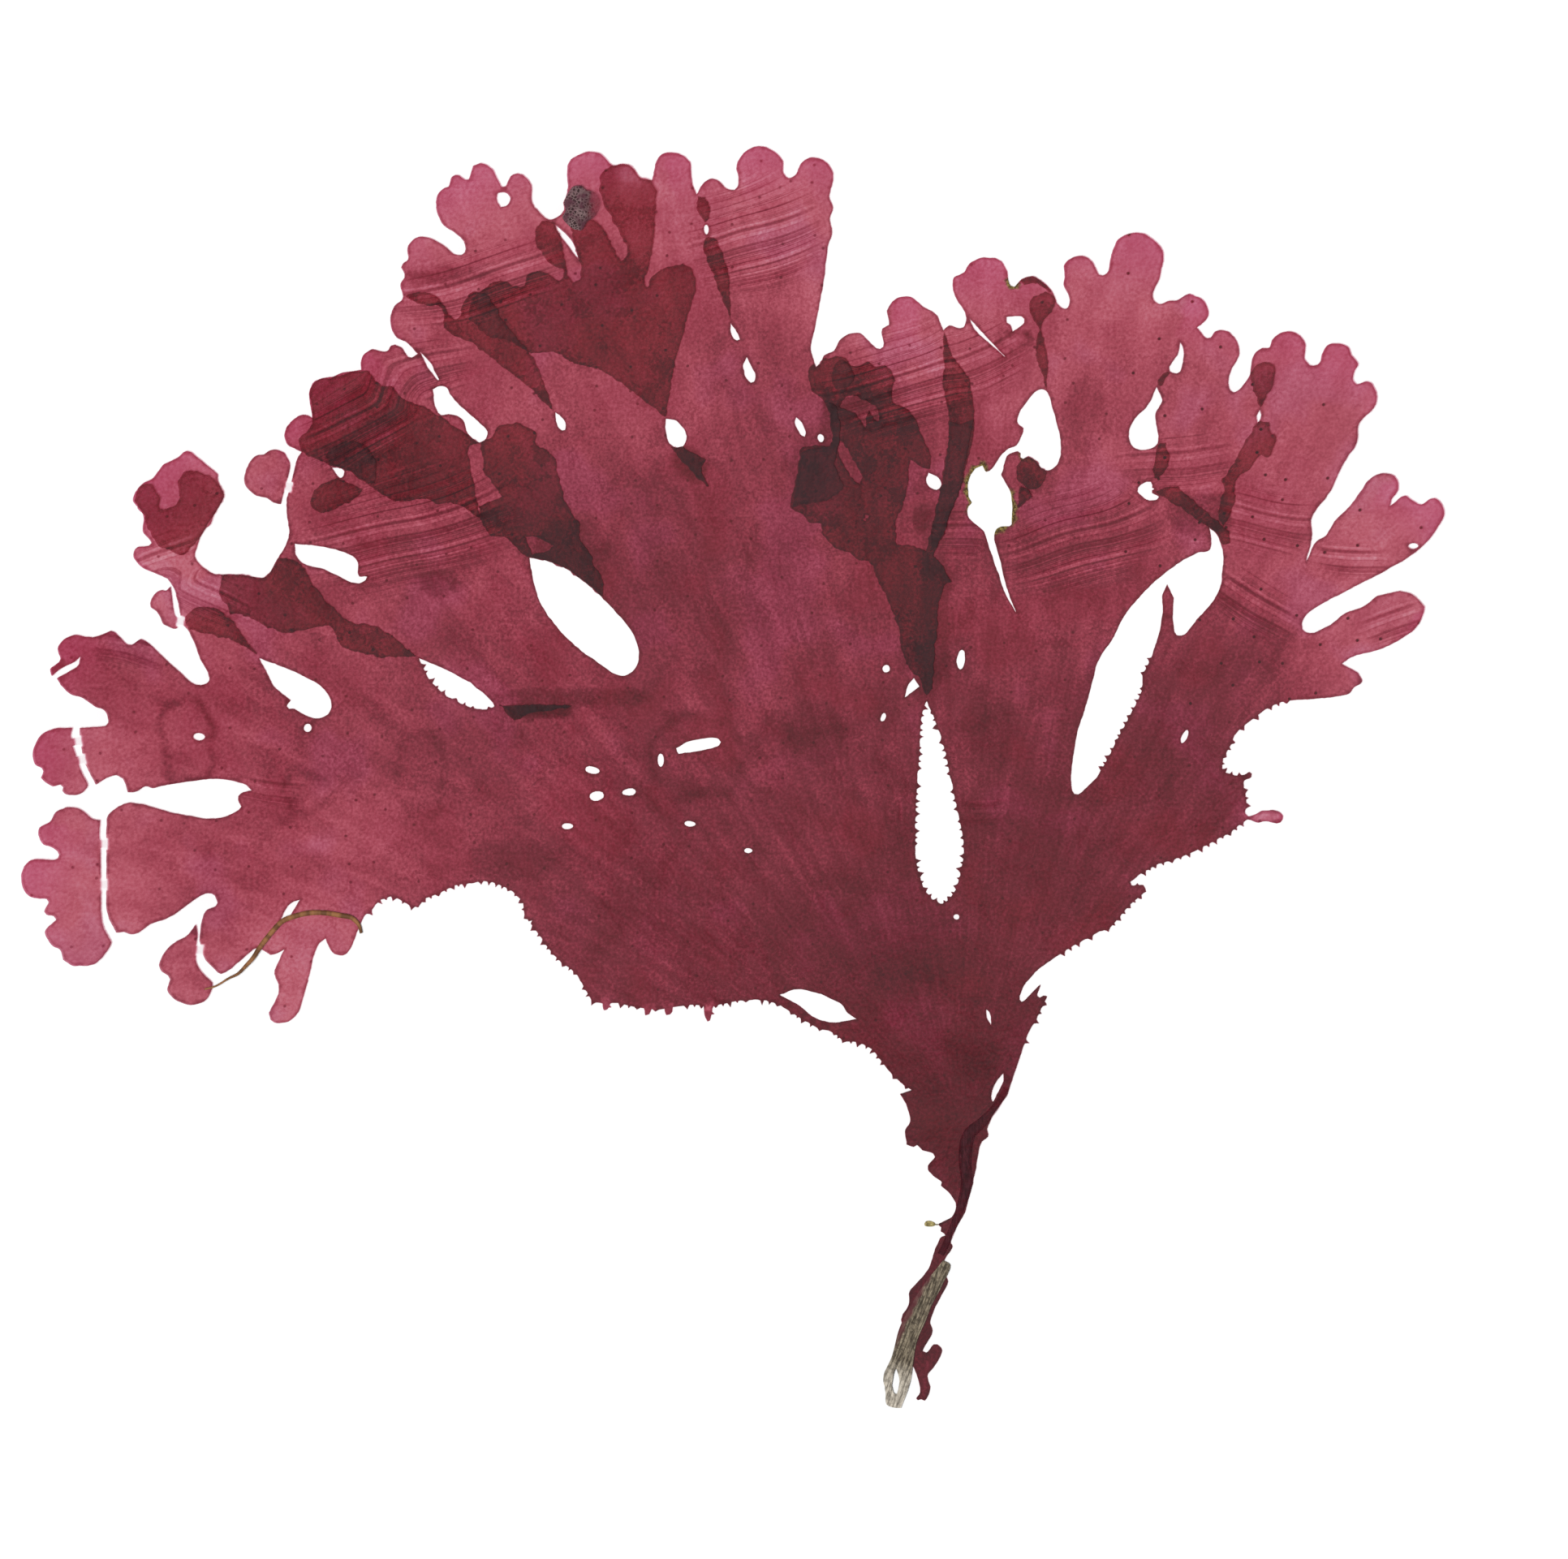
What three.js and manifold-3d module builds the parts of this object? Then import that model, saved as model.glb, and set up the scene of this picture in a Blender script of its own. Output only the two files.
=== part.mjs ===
// A pressed, dried frond of a thin red seaweed: one wide flat blade with many round-tipped lobes,
// lobes that lie over each other, sinus holes, toothed lower margins and a short narrow stipe.
// It lies flat as it was pressed: X and Y run over the blade, Z is up off the surface it lies on.
// Outlines are read by eye from the picture as x, y pairs and turned into millimetres.

import * as THREE from 'three';
import * as BufferGeometryUtils from 'three/addons/utils/BufferGeometryUtils.js';
import Module from 'manifold-3d';

// Scale of the picture: 522 of its units are 50 mm.
const MM_PER_UNIT = 50 / 522;
const CENTRE_X = 902.5;
const CENTRE_Y = 958;

// Blade and layers, in mm. A stand-in thickness: the dried blade is about 0.1 mm thick.
const BLADE = 0.6;
const LAYER_STEP = 0.8;
const FOOT_WIDTH = 0.9;
const FOOT_SINK = 0.3;
const BRIDGE_WIDTH = 0.9;

// The blade's outer lobes lift and ruffle gently, outside an oval round its weight.
const FLAT_X = 4;
const FLAT_Y = 12;
const FLAT_HALF_X = 46;
const FLAT_HALF_Y = 38;
const TIP_LIFT = 2.0;
const RUFFLE = 0.55;
const RUFFLE_COUNT = 11;
const STIPE_FLAT_Y = -50;
const STIPE_BLEND = 16;

// The sheets' grid.
const SHEET_HALF_X = 91;
const SHEET_HALF_Y = 84;
const COLUMNS = 15;
const ROWS = 14;

// The blade rests on a flat triangle round its weight, with its corners at these columns and rows of
// the grid, and lies a little higher outside it.
const REST_CORNERS = [[8, 5], [11, 9], [5, 10]];
const REST_RISE = 0.42;
const REST_REACH = 14;

// Outline sampling, in mm.
const SAMPLE = 0.45;
const MARGIN_TOLERANCE = 0.12;
const FLAP_TOLERANCE = 0.22;
const TOOTH_PITCH = 1.8;
const TOOTH_WIDTH = 0.62;
const TOOTH_LENGTH = 0.5;

// Pressed midrib that thickens towards the stipe, in mm.
const RIB_HALF_WIDTH = 0.95;
const RIB_HALF_HEIGHT = 0.55;
const RIB_CENTRE_Z = 0.42;
const FIBRE_RADIUS = 0.3;

const FROND_COLOR = 0xa8485c;
const CRUST_COLOR = 0x9b8e7c;
const STRAND_COLOR = 0x6a3a2a;
const PATCH_COLOR = 0x4b3c3c;
const BUD_COLOR = 0xc8bd7a;

// Outer margin, clockwise from the lower left lobe. Each run is smooth; runs meet at corners.
// 'plain' runs are bare, 'toothed' runs carry the fringe of small teeth.
const MARGIN = [
  ['plain', [118, 967, 113, 958, 107, 948, 103, 937, 100, 921, 98, 908, 98, 897]],
  ['plain', [98, 897, 108, 895, 120, 896, 130, 894, 134, 889, 133, 883, 128, 875, 116, 870, 103, 861,
    86, 855, 79, 849, 73, 842, 70, 836]],
  ['plain', [70, 836, 77, 832, 88, 826, 97, 819, 99, 809]],
  ['plain', [99, 809, 93, 815, 83, 820, 73, 825, 64, 833]],
  ['plain', [64, 833, 61, 826, 65, 821, 72, 817, 75, 811, 71, 803, 71, 797, 77, 790, 83, 785, 92, 782,
    100, 784, 108, 785, 125, 783, 130, 779, 135, 777, 140, 778, 145, 783, 155, 793, 161, 795, 167, 790,
    173, 787, 180, 790, 189, 800, 199, 807, 220, 826, 233, 839, 247, 845, 258, 838]],
  ['plain', [258, 838, 255, 826, 248, 815, 243, 800, 236, 786, 226, 771, 222, 759, 217, 737, 215, 726,
    210, 718, 206, 713, 193, 708, 180, 702, 167, 691, 164, 685, 167, 676, 173, 673, 183, 673, 187, 668,
    181, 662, 176, 655, 176, 647, 178, 639, 171, 626, 164, 617, 167, 607, 173, 598, 182, 594, 191, 586,
    194, 580, 199, 574, 208, 569, 217, 565, 230, 556, 243, 564, 257, 574, 268, 584, 268, 591, 273, 603,
    276, 611, 271, 621, 259, 640, 247, 661, 243, 673, 240, 684, 243, 692, 252, 700, 263, 707, 279, 708,
    292, 708, 312, 710, 325, 712, 333, 705, 339, 694]],
  ['plain', [339, 694, 342, 686, 346, 679, 351, 671, 356, 660]],
  ['plain', [356, 660, 354, 643, 353, 632, 353, 622, 354, 611, 357, 600, 361, 590, 364, 578, 366, 566,
    371, 557]],
  ['plain', [371, 557, 364, 552, 358, 551, 352, 545, 350, 536, 353, 526, 360, 519, 365, 514, 373, 511,
    380, 513, 385, 515]],
  ['plain', [385, 515, 383, 504, 382, 490, 381, 483, 385, 473, 394, 467, 408, 465, 420, 460, 434, 458,
    445, 456]],
  ['plain', [445, 456, 445, 443, 450, 435, 460, 430, 469, 433, 476, 433, 481, 426, 489, 425, 495, 429,
    499, 435, 504, 441, 510, 439, 514, 436]],
  ['plain', [514, 436, 504, 425, 495, 418, 489, 416, 482, 404, 481, 395, 482, 385, 487, 376, 496, 368]],
  ['plain', [496, 368, 493, 352, 495, 345, 499, 341, 498, 336, 494, 331, 496, 325, 503, 319, 501, 312,
    502, 305, 507, 297, 514, 293, 524, 292, 533, 296, 546, 302, 555, 310, 562, 314, 570, 314, 574, 308,
    572, 300, 566, 291, 553, 283, 544, 274, 539, 263, 537, 251, 539, 240, 546, 232, 554, 229, 555, 221,
    559, 216, 565, 216, 572, 222, 578, 221, 579, 213, 583, 204, 592, 201, 599, 203, 605, 208, 611, 215,
    614, 225, 620, 231, 625, 227, 628, 218, 635, 214, 646, 217, 653, 225, 655, 236, 655, 247, 659, 257,
    668, 265, 676, 271]],
  ['plain', [676, 271, 684, 269, 691, 263, 696, 256, 694, 250, 698, 243, 699, 228, 698, 209, 700, 202,
    706, 194, 718, 189, 726, 187, 739, 189, 747, 196, 754, 204, 765, 202, 776, 204, 783, 211, 788, 219,
    795, 221, 803, 222]],
  ['plain', [803, 222, 806, 209, 809, 198, 816, 190, 831, 188, 842, 192, 850, 200, 852, 214, 853, 227,
    858, 240]],
  ['plain', [858, 240, 861, 233, 869, 224, 878, 220, 887, 224, 894, 232, 903, 234, 909, 230, 910, 220,
    907, 209, 909, 198, 915, 190, 921, 185]],
  ['plain', [921, 185, 926, 183, 936, 180, 945, 183, 958, 190, 964, 199, 965, 214, 972, 220, 980, 216,
    984, 206, 991, 197, 1002, 194, 1012, 196, 1021, 203, 1026, 212, 1026, 222, 1022, 237, 1022, 246,
    1026, 255, 1022, 269, 1023, 279, 1025, 287, 1021, 298, 1019, 316, 1017, 330, 1014, 352, 1008, 379,
    1002, 408, 999, 430, 1001, 441, 1005, 453]],
  ['plain', [1005, 453, 1010, 449, 1014, 441, 1016, 437, 1028, 432, 1033, 421, 1040, 414, 1050, 411,
    1060, 411, 1066, 417, 1074, 425, 1082, 430, 1088, 427, 1089, 419, 1086, 412, 1088, 404, 1095, 401,
    1095, 395, 1092, 384, 1096, 375, 1104, 368, 1119, 365, 1132, 374, 1140, 380, 1149, 384, 1156, 391,
    1159, 399, 1162, 407]],
  ['plain', [1162, 407, 1166, 403, 1172, 401, 1178, 404, 1186, 404, 1190, 395, 1188, 383, 1180, 372,
    1176, 363, 1174, 350, 1176, 341, 1188, 336, 1191, 330, 1195, 324, 1205, 321, 1213, 317, 1223, 317,
    1232, 321, 1238, 328, 1242, 338, 1242, 347, 1247, 354, 1252, 352, 1257, 345, 1264, 342, 1271, 340,
    1281, 345, 1290, 353, 1297, 360, 1299, 368, 1304, 376, 1309, 380]],
  ['plain', [1309, 380, 1315, 380, 1318, 372, 1316, 363, 1312, 355, 1310, 348, 1312, 341, 1310, 333,
    1312, 325, 1318, 319, 1328, 315, 1337, 316, 1344, 321, 1349, 331, 1353, 338, 1358, 340, 1364, 337,
    1367, 330, 1368, 321, 1370, 310, 1374, 300, 1380, 292, 1390, 288, 1402, 287, 1411, 289, 1418, 295,
    1430, 305, 1433, 315, 1432, 325, 1429, 335, 1428, 345, 1423, 354, 1420, 363, 1422, 371, 1428, 375,
    1435, 373, 1442, 370, 1452, 370, 1459, 364, 1466, 362, 1473, 365, 1481, 369, 1487, 377, 1489, 387,
    1485, 395, 1474, 404]],
  ['plain', [1474, 404, 1480, 411, 1487, 417, 1493, 415, 1496, 409, 1504, 407, 1512, 408, 1519, 413,
    1523, 424, 1527, 432, 1524, 442, 1519, 453, 1514, 463, 1513, 473, 1516, 481, 1521, 484, 1527, 480,
    1532, 471, 1538, 464, 1542, 456, 1542, 447, 1545, 437, 1552, 430, 1564, 428]],
  ['plain', [1564, 428, 1566, 421, 1573, 413, 1583, 409, 1593, 409, 1602, 414, 1608, 423, 1607, 434,
    1607, 442, 1613, 450, 1620, 451, 1627, 445, 1630, 434, 1635, 426, 1645, 423, 1656, 425, 1663, 431,
    1665, 438, 1671, 444, 1673, 451, 1668, 459, 1666, 466, 1670, 473, 1677, 473, 1685, 470, 1692, 475,
    1696, 484, 1696, 494, 1692, 504, 1684, 512, 1675, 521, 1673, 529, 1673, 540, 1669, 551, 1660, 563,
    1650, 581, 1641, 601, 1632, 616, 1621, 630, 1616, 638, 1616, 650, 1616, 662]],
  ['plain', [1616, 662, 1612, 676, 1609, 692]],
  ['plain', [1609, 692, 1616, 676, 1622, 667]],
  ['plain', [1622, 667, 1630, 663, 1638, 653, 1646, 640, 1660, 627, 1673, 611, 1682, 599, 1689, 589,
    1699, 584, 1709, 583, 1718, 587, 1723, 596, 1721, 607, 1715, 615, 1712, 624]],
  ['plain', [1712, 624, 1719, 619, 1725, 613, 1732, 611, 1741, 618, 1750, 622, 1757, 619, 1764, 614,
    1772, 616, 1778, 625, 1779, 635, 1774, 646, 1765, 658, 1757, 669, 1744, 679, 1729, 691, 1714, 699,
    1698, 707, 1680, 717, 1660, 728, 1640, 739, 1624, 748, 1610, 757, 1604, 768, 1605, 776, 1611, 780,
    1619, 779, 1628, 773, 1640, 769, 1650, 761, 1658, 755, 1668, 753, 1680, 747, 1690, 738, 1700, 733,
    1714, 731, 1728, 728, 1739, 732, 1748, 740, 1755, 748, 1751, 757, 1750, 765, 1744, 774, 1735, 782,
    1719, 792, 1700, 800, 1680, 806, 1660, 812, 1653, 818]],
  ['plain', [1653, 818, 1660, 822, 1668, 826, 1675, 831, 1678, 838, 1674, 845, 1667, 848, 1663, 854,
    1655, 857, 1640, 858, 1624, 861, 1606, 861, 1592, 863]],
  ['toothed', [1592, 863, 1580, 865, 1566, 871, 1554, 878, 1542, 888, 1530, 897, 1521, 905, 1517, 917,
    1510, 930, 1504, 942, 1508, 951, 1516, 955, 1526, 956, 1535, 954]],
  ['plain', [1535, 954, 1541, 951, 1542, 957, 1538, 961, 1533, 962]],
  ['toothed', [1533, 962, 1532, 970, 1535, 982, 1535, 994, 1534, 1003]],
  ['plain', [1534, 1003, 1537, 1006, 1546, 1002, 1557, 999, 1568, 998, 1577, 1001, 1581, 1007, 1578, 1013,
    1573, 1015, 1564, 1012, 1556, 1012, 1551, 1014, 1544, 1011, 1537, 1010]],
  ['toothed', [1537, 1010, 1528, 1016, 1518, 1025, 1505, 1032, 1490, 1040, 1474, 1048, 1459, 1055,
    1442, 1061, 1424, 1066, 1410, 1074, 1400, 1081]],
  ['plain', [1400, 1081, 1392, 1088, 1396, 1092, 1403, 1091, 1409, 1091, 1412, 1099]],
  ['toothed', [1412, 1099, 1404, 1105, 1394, 1113, 1385, 1123, 1376, 1134, 1368, 1143, 1354, 1149,
    1338, 1158, 1320, 1167, 1303, 1178]],
  ['plain', [1303, 1178, 1289, 1188, 1280, 1194, 1273, 1202, 1265, 1209, 1259, 1220, 1256, 1229,
    1257, 1235, 1262, 1231, 1269, 1225, 1275, 1218, 1282, 1213]],
  ['plain', [1282, 1213, 1281, 1219, 1278, 1225, 1279, 1230, 1284, 1227, 1290, 1228]],
  ['toothed', [1290, 1228, 1285, 1239, 1280, 1250, 1273, 1264, 1266, 1278, 1260, 1292]],
  ['plain', [1260, 1292, 1254, 1306, 1250, 1320, 1245, 1337, 1241, 1349, 1236, 1358, 1226, 1370,
    1221, 1380, 1216, 1391, 1217, 1401]],
  ['plain', [1217, 1401, 1209, 1408, 1206, 1421, 1202, 1440, 1199, 1455, 1197, 1466, 1193, 1476,
    1190, 1490, 1187, 1499, 1180, 1510, 1174, 1521, 1171, 1531, 1174, 1538, 1167, 1546, 1163, 1556,
    1163, 1566, 1168, 1580, 1162, 1593, 1154, 1607, 1149, 1620, 1146, 1631, 1149, 1641, 1146, 1649,
    1141, 1657, 1137, 1665]],
  ['plain', [1137, 1665, 1142, 1667, 1147, 1661, 1152, 1656, 1161, 1665, 1156, 1672, 1152, 1682,
    1147, 1690, 1142, 1697, 1146, 1706, 1146, 1713, 1143, 1720, 1139, 1726, 1134, 1724, 1129, 1726,
    1129, 1722, 1133, 1718, 1132, 1708, 1130, 1698, 1128, 1690, 1124, 1683, 1116, 1676, 1109, 1665,
    1107, 1652, 1109, 1641, 1112, 1633, 1110, 1625, 1114, 1617, 1120, 1608, 1120, 1592, 1130, 1581,
    1141, 1568, 1147, 1557, 1150, 1545, 1154, 1534, 1160, 1524]],
  ['plain', [1160, 1524, 1166, 1521, 1159, 1517, 1160, 1513, 1156, 1509]],
  ['plain', [1156, 1509, 1163, 1505, 1172, 1500, 1177, 1492, 1178, 1484, 1172, 1475, 1166, 1466,
    1159, 1461]],
  ['plain', [1159, 1461, 1161, 1458, 1152, 1451, 1144, 1442, 1143, 1437, 1149, 1431, 1152, 1425,
    1148, 1420, 1140, 1419, 1134, 1416, 1130, 1411]],
  ['plain', [1130, 1411, 1125, 1413, 1116, 1410, 1117, 1400, 1116, 1391, 1121, 1383, 1121, 1377,
    1118, 1366, 1114, 1356, 1109, 1348]],
  ['plain', [1109, 1348, 1117, 1346, 1123, 1343]],
  ['toothed', [1123, 1343, 1114, 1338, 1105, 1330, 1097, 1322, 1088, 1311, 1079, 1299, 1071, 1290,
    1060, 1286, 1051, 1283, 1040, 1283, 1028, 1273, 1010, 1268, 985, 1254, 963, 1240, 947, 1234,
    928, 1233, 910, 1233, 887, 1238, 870, 1239, 853, 1238, 831, 1241, 807, 1244, 783, 1241, 760, 1236,
    744, 1237, 729, 1233, 718, 1214, 709, 1199, 689, 1184, 671, 1162, 656, 1141, 646, 1127, 644, 1113,
    633, 1100, 617, 1091, 597, 1086, 577, 1089, 561, 1091, 549, 1098, 535, 1103, 523, 1108, 515, 1118]],
  ['toothed', [515, 1118, 506, 1116, 494, 1110, 483, 1105, 472, 1107, 461, 1118, 448, 1130]],
  ['plain', [448, 1130, 442, 1140, 439, 1149, 433, 1159, 430, 1167, 427, 1175, 411, 1175, 408, 1169,
    403, 1163, 401, 1156]],
  ['plain', [401, 1156, 392, 1164, 387, 1180, 381, 1201, 376, 1218, 371, 1237, 365, 1251, 356, 1258,
    345, 1261, 336, 1259, 331, 1251, 336, 1237, 343, 1223, 343, 1213, 338, 1199, 344, 1183, 350, 1170]],
  ['plain', [350, 1170, 342, 1174, 335, 1177, 325, 1172, 317, 1168, 299, 1180, 286, 1192, 279, 1197,
    271, 1200, 260, 1188, 250, 1178, 246, 1161, 247, 1149, 251, 1135, 253, 1123]],
  ['plain', [253, 1123, 267, 1115, 266, 1106, 260, 1101, 251, 1102, 241, 1108, 224, 1121, 203, 1133,
    187, 1138, 172, 1149, 158, 1151, 151, 1148, 143, 1149]],
  ['plain', [143, 1149, 135, 1134, 131, 1119, 132, 1099, 131, 1076, 132, 1047, 131, 1018, 134, 1003]],
  ['plain', [134, 1003, 141, 999, 149, 994, 156, 989, 162, 991, 168, 990, 183, 993, 201, 999, 228, 1003,
    243, 1007, 260, 1009, 278, 1006, 290, 1000, 297, 994, 294, 988, 293, 982, 297, 977, 310, 974]],
  ['plain', [310, 974, 305, 968, 290, 963, 264, 960, 235, 963, 212, 966, 199, 969, 187, 971, 180, 969,
    174, 972, 166, 976, 157, 976, 154, 970, 153, 962, 147, 956, 137, 956, 128, 962, 118, 967]],
];

// Broken tips at the left that still lie in place, a hair's breadth from the blade.
const BROKEN_TIPS = [
  [['plain', [357, 570, 354, 564, 349, 557, 340, 554, 332, 555, 325, 560, 316, 561, 306, 572, 302, 582,
    301, 593, 303, 599, 310, 607, 319, 612, 328, 613, 335, 618, 342, 621, 347, 621, 348, 611, 351, 600,
    354, 589, 357, 577]]],
  [['plain', [210, 723, 212, 735, 214, 747, 217, 762, 218, 775, 208, 772, 201, 769, 197, 761, 194, 754,
    186, 749, 185, 742, 190, 733, 198, 727, 204, 728]]],
  [['plain', [89, 897, 87, 904, 89, 919, 94, 931, 98, 946, 104, 958, 108, 968, 102, 976, 96, 979, 83, 979,
    77, 975, 78, 970, 73, 967, 64, 969, 56, 964, 50, 958, 54, 949, 51, 946, 45, 944, 41, 933, 41, 923,
    46, 912, 54, 903, 67, 898, 80, 896]]],
  [['plain', [123, 1011, 115, 1010, 107, 1004, 100, 998, 90, 995, 81, 995, 70, 1000, 63, 1007, 60, 1014,
    54, 1016, 48, 1021, 47, 1029, 51, 1038, 56, 1042, 63, 1044, 71, 1050, 73, 1055, 69, 1059, 55, 1059,
    40, 1059, 31, 1066, 26, 1078, 27, 1090, 32, 1101, 40, 1106, 51, 1106, 59, 1109, 60, 1114, 54, 1121,
    57, 1127, 66, 1129, 69, 1134, 60, 1140, 56, 1147, 58, 1157, 65, 1166, 73, 1168, 75, 1177, 80, 1185,
    89, 1190, 103, 1191, 112, 1189, 122, 1184, 130, 1172, 137, 1160, 130, 1150, 126, 1138, 124, 1118,
    124, 1095, 124, 1057, 123, 1028]]],
  [['plain', [241, 1139, 243, 1151, 241, 1165, 241, 1182, 245, 1194, 255, 1203, 262, 1213, 259, 1223,
    255, 1231, 244, 1237, 231, 1238, 220, 1234, 211, 1228, 206, 1217, 210, 1209, 207, 1202, 201, 1199,
    196, 1191, 199, 1179, 207, 1168, 220, 1158, 230, 1153, 236, 1146]]],
];

// Narrow strips that hold the broken tips, as x, y, x, y ends.
const BRIDGES = [
  [347, 598, 364, 602],
  [212, 764, 232, 768],
  [86, 915, 106, 912],
  [92, 938, 110, 934],
  [118, 1090, 138, 1090],
  [119, 1040, 138, 1040],
  [236, 1170, 256, 1172],
];

// Holes right through the blade.
const HOLES = [
  [['plain', [533, 480, 543, 476, 552, 479, 554, 486, 566, 499, 582, 512, 593, 523, 601, 532, 599, 540,
    591, 545, 582, 541, 575, 532, 572, 521, 565, 513, 551, 510, 542, 511, 537, 504, 534, 491]]],
  [['plain', [684, 508, 691, 513, 697, 523, 695, 531, 689, 528, 685, 519]]],
  [['plain', [820, 516, 834, 519, 843, 529, 846, 540, 841, 550, 834, 552, 825, 546, 820, 533]]],
  [['plain', [652, 687, 666, 689, 682, 694, 700, 702, 715, 713, 731, 726, 751, 748, 765, 761, 780, 781,
    787, 803, 784, 822, 771, 832, 757, 830, 731, 813, 704, 792, 680, 765, 665, 742, 656, 712]]],
  [['plain', [363, 670, 380, 672, 400, 674, 418, 680, 432, 684, 439, 690, 442, 700, 441, 710, 452, 711,
    448, 717, 439, 719, 426, 715, 412, 708, 397, 701, 380, 697, 370, 692, 364, 683]]],
  [['plain', [319, 811, 335, 816, 350, 823, 362, 827, 376, 836, 390, 842, 400, 850, 407, 861, 408, 873,
    403, 881, 394, 885, 382, 884, 370, 879, 361, 873, 354, 873, 354, 867, 358, 863, 347, 855, 335, 843,
    328, 829]]],
  [['plain', [516, 811, 530, 817, 540, 821, 555, 828, 570, 836, 581, 842, 592, 851, 602, 861, 609, 870]],
    ['toothedHole', [609, 870, 601, 874, 590, 874, 575, 870, 560, 863, 547, 855, 536, 846, 526, 833,
      516, 811]]],
  [['plain', [1142, 864, 1144, 870]],
    ['toothedHole', [1144, 870, 1148, 878, 1153, 890, 1157, 903, 1162, 919, 1166, 934, 1169, 950,
      1174, 972, 1178, 992, 1183, 1016, 1187, 1038, 1187, 1056, 1183, 1075, 1178, 1094, 1170, 1107,
      1161, 1114]],
    ['toothedHole', [1161, 1114, 1151, 1110, 1142, 1101, 1136, 1089, 1131, 1073, 1128, 1054, 1128, 1030,
      1128, 1005, 1129, 978, 1131, 950, 1133, 922, 1134, 895, 1137, 876, 1142, 864]]],
  [['plain', [1490, 650, 1498, 656, 1503, 668, 1507, 682, 1506, 700, 1504, 722, 1497, 737, 1485, 750,
    1475, 762, 1465, 776, 1457, 783, 1449, 782, 1446, 773, 1445, 755, 1446, 737, 1442, 728, 1438, 720]],
    ['plain', [1438, 720, 1434, 727, 1432, 736, 1433, 748, 1430, 765, 1427, 785, 1421, 802]],
    ['toothedHole', [1421, 802, 1416, 815, 1410, 826, 1406, 838, 1407, 849, 1402, 862, 1394, 877,
      1386, 893, 1377, 910, 1370, 924, 1361, 941, 1352, 957]],
    ['plain', [1352, 957, 1341, 969, 1332, 977, 1325, 979, 1320, 972, 1319, 960, 1321, 942, 1324, 925,
      1327, 905, 1331, 888, 1338, 870, 1343, 850, 1348, 830, 1353, 814, 1362, 800, 1372, 785, 1383, 762,
      1400, 741, 1414, 725, 1425, 715, 1440, 702, 1460, 689, 1479, 680, 1490, 678]],
    ['plain', [1490, 678, 1492, 664, 1490, 650]]],
  [['plain', [1280, 480, 1288, 481, 1293, 493, 1298, 508, 1300, 522, 1305, 535, 1307, 548, 1306, 562,
    1303, 572, 1296, 578, 1289, 580, 1282, 576, 1275, 567, 1266, 563, 1258, 566, 1256, 557, 1248, 558,
    1241, 562, 1237, 572, 1234, 584, 1239, 595, 1245, 606, 1247, 621, 1247, 634, 1244, 649, 1236, 648,
    1229, 651, 1225, 657, 1226, 667, 1230, 678, 1233, 690, 1236, 705, 1239, 720, 1243, 733, 1252, 755]],
    ['plain', [1252, 755, 1241, 737, 1234, 720, 1230, 707, 1227, 696, 1222, 682, 1216, 668, 1211, 654,
      1201, 646, 1193, 636, 1191, 628, 1198, 618, 1193, 612, 1192, 601, 1195, 587, 1201, 578, 1211, 574,
      1216, 582, 1226, 573, 1232, 564, 1239, 555, 1252, 549, 1257, 540, 1261, 528, 1255, 524, 1253, 517,
      1257, 507, 1264, 497, 1271, 489, 1280, 480]]],
  [['plain', [1454, 422, 1458, 428, 1457, 440, 1456, 452, 1452, 460, 1444, 459, 1440, 456, 1443, 447,
    1450, 438]]],
  [['plain', [1425, 477, 1429, 484, 1432, 493, 1429, 501, 1424, 507, 1425, 522, 1427, 537, 1425, 548,
    1416, 553, 1406, 555, 1396, 551, 1391, 541, 1392, 527, 1398, 516, 1407, 508, 1415, 498, 1419, 487]]],
  [['plain', [1413, 594, 1419, 595, 1420, 608, 1428, 613, 1418, 617, 1407, 612, 1401, 604, 1405, 598]]],
  [['plain', [1240, 391, 1250, 390, 1261, 391, 1262, 397, 1255, 402, 1248, 409, 1245, 401, 1240, 398]]],
  [['plain', [1552, 505, 1554, 512, 1549, 522, 1548, 513]]],
  [['plain', [407, 573, 415, 575, 424, 580, 423, 586, 419, 589, 412, 583]]],
  [['plain', [613, 238, 624, 238, 629, 245, 626, 252, 617, 256, 612, 247]]],
  [['plain', [369, 1109, 363, 1120, 356, 1129, 345, 1136, 351, 1122, 359, 1112]]],
  [['plain', [900, 398, 906, 406, 911, 419, 905, 419, 900, 409]]],
  [['plain', [920, 440, 926, 450, 931, 463, 927, 472, 919, 466, 915, 451]]],
  [['plain', [981, 514, 987, 520, 993, 535, 990, 539, 983, 530, 979, 520]]],
  [['plain', [1144, 583, 1158, 590, 1160, 598, 1155, 603, 1146, 601, 1141, 592]]],
  [['plain', [1126, 835, 1129, 842, 1133, 846, 1124, 854, 1115, 859, 1117, 849, 1120, 842]]],
  [['plain', [833, 922, 845, 915, 866, 911, 882, 909, 888, 914, 883, 920, 861, 925, 836, 929]]],
  [['plain', [961, 1226, 975, 1220, 994, 1220, 1016, 1230, 1037, 1238, 1045, 1249, 1056, 1255,
    1040, 1258, 1024, 1260, 1002, 1253, 986, 1240]]],
  [['plain', [1215, 1244, 1219, 1247, 1222, 1266, 1217, 1257]]],
  [['plain', [1236, 1323, 1236, 1333, 1228, 1346, 1222, 1358, 1221, 1347, 1228, 1332]]],
  [['plain', [1194, 392, 1203, 402, 1218, 418, 1239, 441, 1214, 420, 1199, 404]]],
  [['plain', [683, 276, 689, 281, 701, 292, 708, 304, 713, 321, 704, 307, 696, 296, 686, 284]]],
  [['plain', [517, 433, 525, 440, 533, 452, 541, 470, 530, 457, 522, 445]]],
];

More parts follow.
